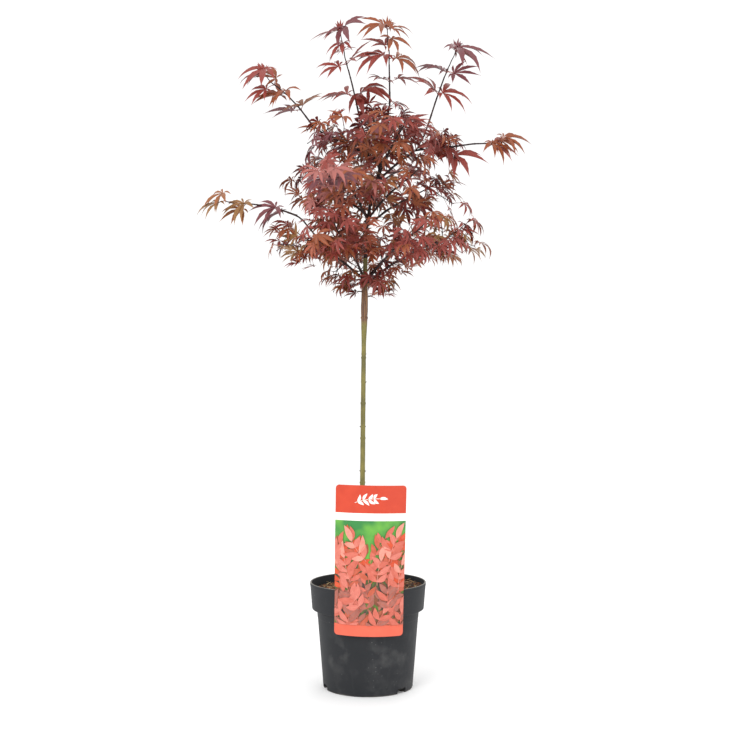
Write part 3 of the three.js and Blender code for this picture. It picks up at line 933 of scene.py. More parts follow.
LEAF_GAP = 0.26  # between the hearts of two leaves, as a share of a leaf's length
INNER_SHRINK = 0.38  # how much smaller the leaves deep in the crown are
SHRUNK_DEPTH = 45 * MM  # how deep they are when they are smallest
FIRST_TINT_SHARE = 0.7  # the share of a spray's leaves that take the first of its two tints
TRIES = 10  # for each leaf
TRY_SHRINK = 0.03  # how much smaller each next try is
FOLDED, FOLDED_STALK = 19 * MM, 5 * MM  # the lengths of a shoot's youngest leaves and of their stalks
STALK_RADIUS = 0.013  # as a share of the leaf's length
STALK_AHEAD, STALK_SAG = (0.2, 0.8), (0.1, 0.45)  # how far stalks point along their twig, and sag
SIZE_SPREAD = (0.84, 1.1)  # the least and most of a leaf's size, as a share of what its node gives
LAST_AHEAD = 1.8  # how much more the leaves at a twig's tip point on along it
# How large the leaves are beside what their habit says, by the start of a mass's name.
SIZE_BY_PLACE = {
    "front_left": 1.02,
    "top_left": 1.05,
    "top_right": 1.1,
    "high_left": 0.95,
    "far_left": 1.06,
    "far_right": 1.1,
    "upper_front": 0.92,
    "middle_front_left": 1.02,
    "middle_front_right": 0.88,
    "lower_front_left": 0.93,
    "lower_front_right": 0.85,
    "": 1,
}
# How likely each tint is, by the start of a mass's name.
TINTS_BY_PLACE = {
    "skirt_left": {"wine": 4, "crimson": 2, "russet": 2},
    "skirt": {"russet": 4, "copper": 1, "wine": 2},
    "top_left": {"plum": 2, "crimson": 2, "wine": 1},
    "top_centre_collar": {"wine": 2, "crimson": 1},
    "top_centre": {"russet": 3, "crimson": 2, "plum": 1},
    "top_right": {"crimson": 2, "plum": 2, "wine": 2},
    "top": {"crimson": 3, "plum": 2, "wine": 4},
    "high_left_collar": {"copper": 2, "plum": 1},
    "high_left": {"crimson": 3, "russet": 3, "plum": 1},
    "far_left_collar": {"plum": 3, "wine": 2},
    "far_left": {"bronze": 3, "copper": 1},
    "far_right_collar": {"crimson": 3, "wine": 2},
    "far_right": {"rose": 3, "russet": 2},
    # The darker crimson and plum among its rose leaves are partly real tints and partly painted shade
    # between the leaves.
    "front_left": {"rose": 4, "crimson": 1, "plum": 1},
    "middle_front_left": {"rose": 3, "coral": 2, "crimson": 2, "russet": 2},
    "lower_front_left": {"coral": 3, "russet": 4, "crimson": 4, "wine": 1},
    # The shade tint here is painted shade low in the crown.
    "lower_front_right": {"russet": 4, "wine": 2, "crimson": 2, "copper": 1, "shade": 1, "bronze": 1},
    "lower_right": {"crimson": 3, "copper": 1, "bronze": 2, "russet": 4},
    "lower_left": {"russet": 4, "bronze": 1, "wine": 2, "crimson": 2, "copper": 1},
    "lower": {"russet": 3, "copper": 1, "wine": 2, "crimson": 1},
    "middle_left": {"russet": 3, "wine": 3, "crimson": 2},
    "middle_front_right": {"russet": 5, "copper": 2, "crimson": 2, "wine": 1},
    "middle_right": {"russet": 4, "copper": 2, "crimson": 3, "wine": 1},
    "middle": {"wine": 4, "crimson": 3, "russet": 2},
    "upper_front": {"crimson": 4, "wine": 3, "rose": 1, "russet": 2},
    "upper_right": {"wine": 4, "crimson": 3, "russet": 3},
    "upper": {"wine": 4, "crimson": 3, "plum": 1, "russet": 1},
    "": {"crimson": 3, "wine": 4, "russet": 2, "plum": 1},
}
# The same for sprays deep in the crown, low down and elsewhere: darker tints low down as painted shade, and
# paler tints elsewhere as painted light that lifts the crown's own shade.
LOW_PAINTED_SHADE_TINTS = {"shade": 3, "wine": 2, "russet": 4}
DEEP_PAINTED_LIGHT_TINTS = {"russet": 3, "copper": 3, "coral": 3, "crimson": 2}
SHADE_DEPTH = 30 * MM  # how deep in its mass such a spray ends


def tints_for(twig):
    """Two leaf tints for a spray, by where it grows."""
    name = twig.mass.name
    table = by_start(TINTS_BY_PLACE, name)
    # Deep sprays take painted shade low in the crown and painted light, paler tints, elsewhere.
    if twig.habit is HABITS["inner"] or twig.mass.depth(twig.path[-1]) > SHADE_DEPTH:
        table = LOW_PAINTED_SHADE_TINTS if name.startswith(("skirt", "lower")) else DEEP_PAINTED_LIGHT_TINTS
    chances = np.array(list(table.values()), float)
    return [list(table)[k] for k in dice.choice(len(table), 2, replace=False, p=chances / chances.sum())]


class Foliage:
    """All the leaves and stalks, and the rule that deals them out along the twigs."""

    def __init__(self, masses):
        self.masses, self.leaves, self.stalks, self.hearts = masses, [], [], []

    def clear(self, leaf, overhang):
        """Whether a leaf has room and doesn't stand out of the masses too far."""
        if self.hearts:
            gaps = np.linalg.norm(np.array(self.hearts) - leaf.heart, axis=1)
            if gaps.min() < LEAF_GAP * leaf.length:
                return False
        return all(crown_depth(self.masses, tip, overhang) > -overhang for tip in leaf.tips())

    def leaf_at(self, start, side, way, size, habit, tint, mass):
        """Tries a few stalks and headings from a node until a leaf fits, smaller each time."""
        for attempt in range(TRIES):
            shrink = 1 - TRY_SHRINK * attempt
            lift = dice.uniform(*habit["rise"])
            leaving = unit(side + way * dice.uniform(*STALK_AHEAD) + UP * lift + 0.2 * any_way())
            t = np.linspace(0, 1, 6)[:, None]
            length = dice.uniform(*habit["stalk"]) * shrink
            stalk = start + length * (leaving * t - UP * dice.uniform(*STALK_SAG) * t**2)
            end, away = stalk[-1], outward(stalk[-1])
            ahead = unit(stalk[-1] - stalk[-2]) * np.array([1, 1, 0.4]) + 0.5 * away
            ahead = ahead - UP * dice.uniform(0.0, habit["hang"]) + 0.3 * any_way()
            facing = UP + away * dice.uniform(*habit["face"]) + FRONT * habit["front"]
            facing = facing + habit["skew"] * any_way()
            shape = int(dice.integers(*habit["shapes"]))
            leaf = Leaf(end, ahead, facing, size * dice.uniform(*SIZE_SPREAD) * shrink, shape)
            if self.clear(leaf, habit["overhang"]):
                self.hearts.append(leaf.heart)
                self.leaves.append((leaf, tint, mass))
                self.stalks.append((stalk, STALK_RADIUS * size))
                return

    def dress(self, twig):
        """Opposite pairs of leaves at a twig's nodes, each pair square to the last."""
        start_dice(twig.name)
        tints = tints_for(twig)
        around = math.pi / 2 + dice.uniform(-0.5, 0.5)
        for k, node in enumerate(twig.nodes):
            way, start = twig.way(node), twig.point(node)
            side = turned(square_to(FRONT if abs(way[2]) > 0.7 else UP, way), way, around)
            depth = max(crown_depth(self.masses, start, MM), 0)
            size = twig.habit["leaf"] * (1 - INNER_SHRINK * min(depth / SHRUNK_DEPTH, 1))
            size *= by_start(SIZE_BY_PLACE, twig.mass.name)
            ahead = way * (LAST_AHEAD if k == len(twig.nodes) - 1 else 1)
            for sign in (1, -1):
                tint = tints[0 if dice.uniform() < FIRST_TINT_SHARE else 1]
                self.leaf_at(start, sign * side, ahead, size, twig.habit, tint, twig.mass)
            around += math.pi / 2 + dice.uniform(-PAIR_STRAY, PAIR_STRAY)
        if twig.habit is HABITS["tip"]:
            self.unfold(twig, tints[0])

    def unfold(self, twig, tint):
        """The youngest pair of leaves of an upright shoot, still small and half closed."""
        way, start = twig.way(twig.length), twig.path[-1]
        side = square_to(any_way(), way)
        for sign in (1, -1):
            leaving = unit(way + 0.35 * sign * side)
            stalk = start + leaving * np.linspace(0, FOLDED_STALK, 6)[:, None]
            leaf = Leaf(stalk[-1], leaving, -sign * side + 0.3 * way, FOLDED, 0)
            self.leaves.append((leaf, tint, twig.mass))
            self.stalks.append((stalk, 0.5 * MM))


# ---------------------------------------------------------------- the plant

# The tier of the crown that each mass belongs to, by the start of its name. The shoots stand clear of it.
TIERS = {
    "skirt": "skirt",
    "lower": "lower",
    "middle": "middle",
    "upper": "upper",
    "top_": "shoots",
    "top": "upper",
    "": "shoots",
}
COLLAR_HOLD = 20 * MM  # how near its collar of leaves a shoot counts as in it
TRUNK_SLICES = {"margin": 0.01, "slices": 30}


def named(twigs, name):
    """Twigs with names of their own, from which their leaves' draws start."""
    for k, twig in enumerate(twigs):
        twig.name = f"{name}_{k}"
    return twigs


def whorl_on(shoot, collar):
    """The leaf node that a shoot bears where it runs through its collar of leaves."""
    twig = Twig(collar, shoot.path, 0, 0, habit_of(collar))
    inside = [at for at, p in zip(twig.at, shoot.path) if collar.depth(p) > -COLLAR_HOLD]
    room = (inside[-1] - inside[0]) / 2
    twig.nodes = [inside[0] + room * twig.habit["middle"] + twig.habit["moved"]]
    return twig


def make_plant():
    nodes = sorted(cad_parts)
    wooden = [node for node in nodes if node.startswith(("trunk", "leader", "bough", "shoot"))]
    limbs = [Limb(node, **(TRUNK_SLICES if node == "trunk" else {})) for node in wooden]
    masses = [Mass(node) for node in nodes if node.startswith("leaves")]
    by_name = {mass.name: mass for mass in masses}
    by_node = {limb.node: limb for limb in limbs}
    twigs, whorls = [], []
    for mass in masses:
        start_dice(mass.name)
        if mass.name.endswith("_collar"):
            shoot = by_node["shoot_" + mass.name.removesuffix("_collar")]
            whorls.extend(named([whorl_on(shoot, mass)], mass.name))
        else:
            twigs.extend(named(grow_mass(mass, limbs), mass.name))
    for limb in limbs:
        start_dice(limb.node)
        if limb.node == "trunk":
            twigs.extend(named(grow_at_graft(limb, by_name["skirt_right"]), limb.node))
        elif by_start(INNER_TWIGS, limb.node):
            mass = by_name.get(limb.node.removeprefix("bough_"), by_name["top"])
            twigs.extend(named(grow_inner(limb, mass), limb.node))
    foliage = Foliage(masses)
    # The outermost twigs are the first to take room for their leaves.
    for twig in sorted([*twigs, *whorls], key=lambda twig: -np.linalg.norm(twig.path[-1] - crown_axis)):
        foliage.dress(twig)
    make_limbs(limbs)
    make_twigs(twigs, foliage)
    make_leaves(foliage, masses)


STEM_BUDS = (0.12, 0.24, 0.37, 0.5, 0.64, 0.72)  # shares of the stem's length where pairs of buds sit
BUD_TURN = 0.9  # how far round the stem from its sides they may be, in radians
# Each kind of limb's bark: how far it runs on into what it grows from and into what it carries, how much
# thicker it is than the solid, how many sides it has, the space between its leaf nodes, how much its foot
# swells and how high its ridges are.
BARK = {
    "trunk": dict(back=3 * MM, on=3 * MM, thicker=1.04, sides=40, spacing=68 * MM, collar=0, relief=0.035),
    "leader": dict(back=9 * MM, on=1.5 * MM, thicker=1, sides=20, spacing=40 * MM, collar=0, relief=0.05),
    "": dict(back=5 * MM, on=1.5 * MM, thicker=1, sides=20, spacing=26 * MM, collar=0.3, relief=0.05),
}


def make_limbs(limbs):
    start_dice("bark")
    green, young = stem_finish(), young_bark_finish()
    for limb in limbs:
        batch, bark = Batch(), by_start(BARK, limb.node)
        path, radii = limb.lengthened(bark["back"], bark["on"])
        radii = radii * bark["thicker"]
        rod = bark_tube(path, radii, bark["sides"], bark["spacing"], bark["collar"], bark["relief"])
        batch.add(*rod)
        if limb.node == "trunk":
            add_stem_buds(batch, limb)
            batch.piece("trunk_bark", "green_bark", [green, young], [limb.node])
        else:
            batch.piece(limb.node + "_bark", "young_bark", [young], [limb.node])


def add_stem_buds(batch, trunk):
    """Pairs of buds up the stem, in the second of its two finishes."""
    for share in STEM_BUDS:
        k = int(share * (Limb.STEPS - 1))
        for side in (1, -1):
            way = turned(np.array([side, 0, 0.0]), UP, dice.uniform(-BUD_TURN, BUD_TURN))
            place = trunk.path[k] + way * trunk.radii[k]
            bud(batch, place, unit(way + UP * 0.8), dice.uniform(1.6, 2.8) * MM, 1)


def make_twigs(twigs, foliage):
    wood, stalks = Batch(), Batch()
    for twig in twigs:
        wood.add(*twig.rod(8 if twig.radii[0] > 1.5 * MM else 6))
        bud(wood, twig.path[-1], twig.way(twig.length), 2 * MM)
    for path, radius in foliage.stalks:
        stalks.add(*tube(path, radius * np.array([1.5, 1.0, 0.85, 0.8, 0.8, 0.9]), 5))
    wood.piece("twigs", "young_bark", [young_bark_finish()])
    stalks.piece("leaf_stalks", "leaves", [stalk_finish()])


def make_leaves(foliage, masses):
    finishes = [leaf_finish(name, tint) for name, tint in LEAF_TINTS.items()]
    for tier in dict.fromkeys(TIERS.values()):
        batch = Batch()
        for leaf, tint, mass in foliage.leaves:
            if by_start(TIERS, mass.name) == tier:
                batch.add(leaf.points, LEAF_SHAPES[leaf.shape][1], material=TINT_INDEX[tint])
        nodes = [mass.node for mass in masses if by_start(TIERS, mass.name) == tier]
        batch.piece("foliage_" + tier, "leaves", finishes, nodes)


# ---------------------------------------------------------------- pot

# The pot's measures: radii, and heights from the ground.
POT = {
    "rim": 0.095,
    "height": 0.172,
    "ledge": 0.128,
    "step": 0.114,
    "collar_foot": 0.0916,
    "shoulder": 0.0837,
    "foot": 0.0732,
    "wall": 0.0016,
    "lip": 0.0024,
    "lip_depth": 0.0052,
    "floor": 0.0054,
    "channel": (0.0325, 0.0515),
    "channel_height": 0.003,
}
POT_SIDES = 160
SLOTS = 3
SLOT_TURN = math.radians(78)
# Half a slot's width, the heights and the radii that it is cut between, and how round its corners are.
SLOT = {"half": 0.01, "top": 0.0085, "below": -0.01, "inner": 0.0506, "outer": 0.08, "ease": 0.0025}
SHARP_POT = math.radians(40)  # the pot's edges that turn by more than this aren't shaded smooth


def pot_profile():
    """The pot's wall from the middle of its underside, up the outside, over the rim and down inside."""
    p = POT
    at_step = p["foot"] + (p["shoulder"] - p["foot"]) * p["step"] / p["ledge"]
    slope = 1.5 * MM
    (inner, outer), top = p["channel"], p["channel_height"]
    return rounded([
        (0, 0.2 * MM),
        (inner - slope, 0.2 * MM, MM),
        (inner + slope, top, MM),
        (outer - slope, top, MM),
        (outer + slope, 0, MM),
        (p["foot"], 0, 2.4 * MM),
        (at_step - 0.1 * MM, p["step"], 0.4 * MM),
        (at_step + 0.3 * MM, p["step"] + 0.6 * MM, 0.4 * MM),
        (p["shoulder"], p["ledge"], 1.2 * MM),
        (p["collar_foot"], p["ledge"], 2.2 * MM),
        (p["rim"] - 0.4 * MM, p["height"] - p["lip_depth"] - 0.8 * MM, MM),
        (p["rim"], p["height"] - p["lip_depth"], 0.6 * MM),
        (p["rim"], p["height"], 1.1 * MM),
        (p["rim"] - p["lip"], p["height"], 1.1 * MM),
        (p["collar_foot"] - p["wall"], p["ledge"] + p["wall"], 2 * MM),
        (p["shoulder"] - p["wall"], p["ledge"] + p["wall"], MM),
        (p["foot"] - p["wall"], p["floor"], 2 * MM),
        (0, p["floor"]),
    ])


def pot_finish():
    """Charcoal plastic with a fine grain, soft pale smudges that are partly dust and partly a painted
    highlight, a few scuffs and a pale line round the top of the rim.
    """
    plastic = Finish("charcoal_plastic", 0x26282B, 0.5)
    plastic.set("Specular IOR Level", 0.22)
    fine = plastic.grain(900, 2.0)
    cloud = plastic.grain(16, 4.0, 0.6)
    smudge = plastic.grain(34, 3.0, 0.5)
    drag = plastic.grain(1.0, 5.0, 0.65, plastic.stretched(90, 90, 12))
    specks = plastic.cells(170)
    height = plastic.height()
    base = plastic.mix(cloud.between(0.3, 0.7), 0x1F2124, 0x28292C)
    belly = height.between(0.02, 0.06) * (1 - height.between(0.075, 0.11))
    # Pale smudges round the belly, partly dust and partly a painted highlight.
    dust_and_highlight = smudge.between(0.5, 0.75) * belly * 0.28 + drag.between(0.6, 0.8) * 0.08
    low = (1 - height.between(0.004, 0.03)) * cloud.between(0.5, 0.75) * 0.4
    base = plastic.mix(dust_and_highlight + low, base, 0x6A6A68)
    scuffs = (1 - specks.between(0.06, 0.14)) * cloud.between(0.52, 0.64) * 0.5
    base = plastic.mix(scuffs, base, 0x8A8A86)
    # A pale line painted round the top of the rim.
    pale_rim_line = height.between(POT["height"] - 0.9 * MM, POT["height"] - 0.1 * MM) * (0.4 + 0.6 * smudge)
    base = plastic.mix(pale_rim_line, base, 0x8C8880)
    scraped = (1 - height.between(0.6 * MM, 2.8 * MM)) * cloud.between(0.35, 0.7) * 0.7
    plastic.set("Base Color", plastic.mix(scraped, base, 0x7A756C))
    plastic.set("Roughness", 0.44 + 0.2 * cloud + 0.1 * smudge)
    plastic.bump(fine + 0.3 * drag, 0.00015, 0.5)
    return plastic.material


def slot_cutter():
    """The blocks that cut the drain slots at the pot's foot."""
    cutter = Batch()
    half, top, below, inner, outer, ease = SLOT.values()
    outline = rounded([(-half, below), (-half, top, ease), (half, top, ease), (half, below)])
    count = len(outline)
    ends = np.array([np.arange(count), count + np.arange(count)[::-1]])
    for k in range(SLOTS):
        angle = SLOT_TURN + k * 2 * math.pi / SLOTS
        out = np.array([math.cos(angle), math.sin(angle), 0])
        side = np.cross(UP, out)
        rings = [out * r + outline[:, :1] * side + outline[:, 1:] * UP for r in (inner, outer)]
        cutter.add(np.concatenate(rings), grid_faces(2, count, wrap=True), ends)
    return cutter.piece("slots", "pot_plastic", [])


def make_pot():
    wall = Batch()
    wall.add(*lathe(pot_profile(), POT_SIDES))
    pot = wall.piece("nursery_pot", "pot_plastic", [pot_finish()], ["pot"])
    slots = slot_cutter()
    cut = pot.modifiers.new("slots", "BOOLEAN")
    cut.operation, cut.object, cut.solver = "DIFFERENCE", slots, "EXACT"
    shown = bpy.context.evaluated_depsgraph_get()
    mesh = bpy.data.meshes.new_from_object(pot.evaluated_get(shown))
    pot.modifiers.clear()
    pot.data = mesh
    bpy.data.objects.remove(slots)
    mesh.set_sharp_from_angle(angle=SHARP_POT)


# ---------------------------------------------------------------- soil

SOIL_LEVEL = 0.160
SOIL_RADIUS = 0.09
SOIL_SIDES, SOIL_RINGS = 120, 40
DIP = 2.0 * MM  # how much lower the soil is at its edge, before it is banked up
BANK = 6 * MM  # how high it is banked up
BANK_SIDE = unit(np.array([0.9, 0.5, 0]))  # the way from the middle to the bank
BANK_FULL = 0.06  # how far that way the bank has its full height
CHIPS = 1500
CHIP_ROOM = 1.5 * MM  # how far they stay inside the soil's edge
STRAW_SHARE = 0.12
# The least and most that the bits are long and wide, in millimetres, and how much of their height is kept.
CHIP = {"length": (3.5, 11), "width": (1.0, 2.6), "kept": 0.6}
STRAW = {"length": (12, 30), "width": (0.5, 0.9), "kept": 1.0}


def soil_finish():
    """Crumbly brown soil, with painted shade near black low in the pot, where it shows through the slots.
    """
    soil = Finish("potting_soil", 0x4A3524, 0.9)
    clods = soil.grain(240, 5.0, 0.65)
    patch = soil.grain(45, 3.0)
    base = soil.mix(clods.between(0.35, 0.65), 0x21150E, 0x704A2B)
    base = soil.mix(patch.between(0.5, 0.7) * 0.5, base, 0x8E5C30)
    # Painted shade: near black up to 2 cm, blending into the soil's colour by 10 cm.
    soil.set("Base Color", soil.mix(soil.height().between(0.02, 0.1), 0x0C0A08, base))
    soil.bump(clods, 0.0015, 0.9)
    return soil.material


def chip_finish(name, dark, light):
    """Bark or straw with a fibrous grain."""
    chip = Finish(name, light, 0.85)
    fibre = chip.grain(700, 4.0, 0.6)
    chip.set("Base Color", chip.mix(fibre.between(0.35, 0.7), dark, light))
    chip.bump(fibre, 0.0004, 0.6)
    return chip.material


def soil_height(points):
    """The soil's surface: level round the stem, lumpy beyond and banked up at one side."""
    flat = points * LEVEL
    rough, broad = ruffle(flat, 12 * MM), ruffle(flat, 40 * MM, 3)
    edge = np.linalg.norm(flat, axis=1) / SOIL_RADIUS
    bank = np.clip(points @ BANK_SIDE / BANK_FULL, 0, 1) ** 2
    level = SOIL_LEVEL - 0.3 * MM - DIP * edge**3 + BANK * bank
    return level + 1.1 * MM * rough + 2.0 * MM * broad


def make_soil():
    (_, _, low), (rim, _, _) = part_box("soil")
    ledge = POT["ledge"] + POT["wall"]
    inner = [(0, low), (POT["foot"] - 2 * MM, low), (POT["shoulder"] - 2.4 * MM, ledge)]
    inner += [(POT["collar_foot"] - 2.4 * MM, ledge + 0.2 * MM), (rim - 0.3 * MM, SOIL_LEVEL - 7 * MM)]
    surface = [(rim * (1 - k / SOIL_RINGS), SOIL_LEVEL) for k in range(SOIL_RINGS)]
    points, quads, fans = lathe(np.array([*inner, *surface, (0, SOIL_LEVEL)]), SOIL_SIDES)
    top = points[:, 2] > SOIL_LEVEL - MM
    points[top, 2] = soil_height(points[top])
    bed = Batch()
    bed.add(points, quads, fans)
    bed.piece("soil_bed", "potting_soil", [soil_finish()], ["soil"])
    make_chips(rim)


def make_chips(rim):
    """Bits of bark and straw strewn over the soil."""
    start_dice("chips")
    chips = Batch()
    for _ in range(CHIPS):
        angle, r = dice.uniform(0, 2 * math.pi), (rim - 4 * MM) * math.sqrt(dice.uniform())
        place = np.array([r * math.cos(angle), r * math.sin(angle), 0])
        place[2] = soil_height(place[None])[0] + dice.uniform(0, 1.8) * MM
        kind = STRAW if dice.uniform() < STRAW_SHARE else CHIP
        length, width = (dice.uniform(*kind[name]) * MM for name in ("length", "width"))
        heading = dice.uniform(0, 2 * math.pi)
        way = unit(np.array([math.cos(heading), math.sin(heading), dice.uniform(-0.25, 0.3)]))
        path = place + way * length * np.linspace(-0.5, 0.5, 4)[:, None]
        path = path + dice.normal(0, 0.35 * MM, (4, 3))
        reach = np.linalg.norm(path[:, :2], axis=1).max()
        if reach > rim - CHIP_ROOM:
            path[:, :2] *= (rim - CHIP_ROOM) / reach
        radii = np.array([0.5, 1, 0.9, 0.4])[:, None] * width / 2 * dice.uniform(0.6, 1.2, (4, 6))
        points, sides, ends = tube(path, radii, 6)
        points[:, 2] = place[2] + (points[:, 2] - place[2]) * kind["kept"]
        chips.add(points, sides, ends, material=3 if kind is STRAW else int(dice.integers(3)))
    browns = [
        chip_finish("dark_bark_chip", 0x341E14, 0x603C26),
        chip_finish("red_bark_chip", 0x703E20, 0xA06236),
        chip_finish("peat_chip", 0x1E1410, 0x463022),
        chip_finish("straw", 0xB08C58, 0xE0C898),
    ]
    chips.piece("soil_chips", "potting_soil", browns, smooth=False)


# ---------------------------------------------------------------- picture card

# The card's measures. Its back lies round the pot's collar and it flattens out above. Its bow at the top is
# one over a radius.
CARD = {
    "width": 0.115,
    "height": 0.237,
    "bottom": 0.101,
    "thickness": 0.0006,
    "clearance": 0.0008,
    "turn": math.radians(1.6),
    "lean": math.radians(1.2),
    "corner": 0.006,
    "top_bow": 1 / 0.14,
}
# The tongue on its back: half its width, its thickness, how far its middle line is from the card, from the
# inside of the rim and from the top of the rim, how far it reaches down outside, the height of its tip
# inside and how far that slants in, and how round its two bends are.
HOOK = {
    "half_width": 0.013,
    "thickness": 0.0005,
    "from_card": 0.0001,
    "from_lip": 0.0024,
    "over_rim": 0.00125,
    "down": 0.006,
    "tip": 0.15,
    "slant": 0.0022,
    "bend": 0.0018,
}
CARD_ROWS = 61  # between its round corners
CARD_COLUMNS = np.linspace(-1, 1, 49)  # as shares of half its width
SHARP_CARD = math.radians(35)  # the card's edges that turn by more than this aren't shaded smooth
# The card's finishes in their order. The inks come after them.
HEADER, WHITE, PICTURE, BACK, FOOTER, FIRST_INK = range(6)
# The printed bands from below: their upper edge as a share of the card's height, and their finish.
BANDS = ((0.075, FOOTER), (0.765, PICTURE), (0.815, WHITE), (1.0, HEADER))
# The inks of the printed leaflets, from the deepest layer to the nearest.
INKS = (
    ("umber", 0x6A4030, 0x80503A),
    ("brick", 0x91503A, 0xA55A42),
    ("rust", 0xB0543C, 0xBC5E48),
    ("dusk", 0x94594E, 0xA2665A),
    ("ember", 0xC2492E, 0xCC5636),
    ("coral", 0xBC6050, 0xC66A5A),
    ("salmon", 0xC46C5E, 0xCC7668),
    ("blush", 0xCE8272, 0xD69080),
)


def card_half_width(height):
    """Half the card's width at a height, less near its round corners."""
    from_end = min(height, CARD["height"] - height)
    drop = max(0.0, CARD["corner"] - from_end)
    return CARD["width"] / 2 - CARD["corner"] + math.sqrt(max(CARD["corner"] ** 2 - drop**2, 0))


def card_point(across, height, depth):
    """A place on the card, by its distance from the middle, its height and its depth from the back face.
    The card leans about a point at the height of the rim."""
    rim, lean = POT["height"] - CARD["bottom"], CARD["lean"]
    up, aside = height - rim, across
    across = aside * math.cos(lean) + up * math.sin(lean)
    height = rim + up * math.cos(lean) - aside * math.sin(lean)
    radius = POT["rim"] + CARD["clearance"] + depth
    above = min(max((height - rim) / (CARD["height"] - rim), 0), 1)
    bow = 1 / radius + (CARD["top_bow"] - 1 / radius) * math.sqrt(above)
    angle = across * bow
    x, y = math.sin(angle) / bow, (1 - math.cos(angle)) / bow - radius
    c, s = math.cos(CARD["turn"]), math.sin(CARD["turn"])
    return [x * c - y * s, x * s + y * c, CARD["bottom"] + height]


def print_finish(name, dark, light, scale=60.0, gloss=0.3):
    """Coated card: a printed tint that drifts a little, under a smooth varnish."""
    ink = Finish(name, light, gloss)
    ink.set("Specular IOR Level", 0.2)
    drift = ink.grain(scale, 3.0)
    fine = ink.grain(1400, 1.0)
    ink.set("Base Color", ink.mix(drift.between(0.35, 0.65), dark, light))
    ink.set("Roughness", gloss + 0.12 * drift)
    ink.bump(fine, 0.00004, 0.3)
    return ink.material


def picture_finish():
    """An out-of-focus garden: bright green above, deep green and plum shade below."""
    ink = Finish("printed_garden", 0x64AA3E, 0.3)
    ink.set("Specular IOR Level", 0.2)
    blur = ink.grain(38, 2.0, 0.4)
    fine = ink.grain(110, 3.0)
    height = ink.height()
    top = height.between(0.19, 0.27)
    green = ink.mix(blur.between(0.35, 0.65), 0x3A7E42, 0x68A644)
    deep = ink.mix(fine.between(0.4, 0.6), 0x4E3E3C, 0x56702F)
    ink.set("Base Color", ink.mix((top + 0.6 * blur - 0.3).between(0.1, 0.6), deep, green))
    ink.set("Roughness", 0.3 + 0.1 * blur)
    return ink.material


def card_rows():
    """The heights of the card's rows of points as shares of its own, closer at its round corners."""
    corner = CARD["corner"] / CARD["height"]
    rounds = [corner * (1 - math.cos(a)) for a in np.linspace(0, math.pi / 2, 7)]
    even = np.linspace(corner, 1 - corner, CARD_ROWS)
    return sorted({*rounds, *(1 - r for r in rounds), *even, *(edge for edge, _ in BANDS[:-1])})


def make_card():
    finishes = [
        print_finish("printed_red", 0xBB412D, 0xC1452F),
        print_finish("printed_white", 0xE2E1DC, 0xECEBE6),
        picture_finish(),
        print_finish("card_back", 0xD2D0C8, 0xDAD8D0, 20.0, 0.55),
        print_finish("printed_orange_red", 0xD4614C, 0xDA6650),
        *(print_finish("printed_" + name, dark, light, 130.0) for name, dark, light in INKS),
    ]
    card, rows, columns = Batch(), card_rows(), CARD_COLUMNS
    faces = grid_faces(len(rows), len(columns))
    sides = []
    for depth in (CARD["thickness"], 0.0):
        side = [card_point(c * card_half_width(r * CARD["height"]), r * CARD["height"], depth)
                for r in rows for c in columns]
        sides.append(np.array(side))
    front, back = sides
    bands = [next(finish for edge, finish in BANDS if (a + b) / 2 <= edge) for a, b in zip(rows, rows[1:])]
    card.add(front, faces, material=np.repeat(bands, len(columns) - 1))
    card.add(back, faces[:, ::-1], material=BACK)
    grid = np.arange(len(front)).reshape(len(rows), -1)
    loop = [*grid[0], *grid[1:, -1], *grid[-1, -2::-1], *grid[-2:0:-1, 0]]
    card.add(np.concatenate([back[loop], front[loop]]), grid_faces(2, len(loop), wrap=True), material=WHITE)
    add_hook(card)
    add_print(card)
    piece = card.piece("picture_card", "printed_card", finishes, ["card"])
    piece.data.set_sharp_from_angle(angle=SHARP_CARD)


def add_hook(card):
    """The card's tongue: over the rim and down inside the pot, bent round with the rim."""
    outside = POT["rim"] + CARD["clearance"] + HOOK["from_card"]
    inside = POT["rim"] - POT["lip"] - HOOK["from_lip"]
    top, bend = POT["height"] + HOOK["over_rim"], HOOK["bend"]
    corners = [(outside, top - HOOK["down"]), (outside, top, bend), (inside, top, bend)]
    line = rounded([*corners, (inside - HOOK["slant"], HOOK["tip"])], 7)
    angles = np.linspace(-1, 1, 9) * HOOK["half_width"] / POT["rim"] + CARD["turn"]
    normals = unit(np.gradient(line, axis=0) @ np.array([[0, 1], [-1, 0]]))
    faces = grid_faces(len(line), len(angles))
    for side in (1, -1):
        path = line + normals * HOOK["thickness"] / 2 * side
        points = [[r * math.sin(a), -r * math.cos(a), z] for r, z in path for a in angles]
        card.add(points, faces if side < 0 else faces[:, ::-1], material=WHITE)


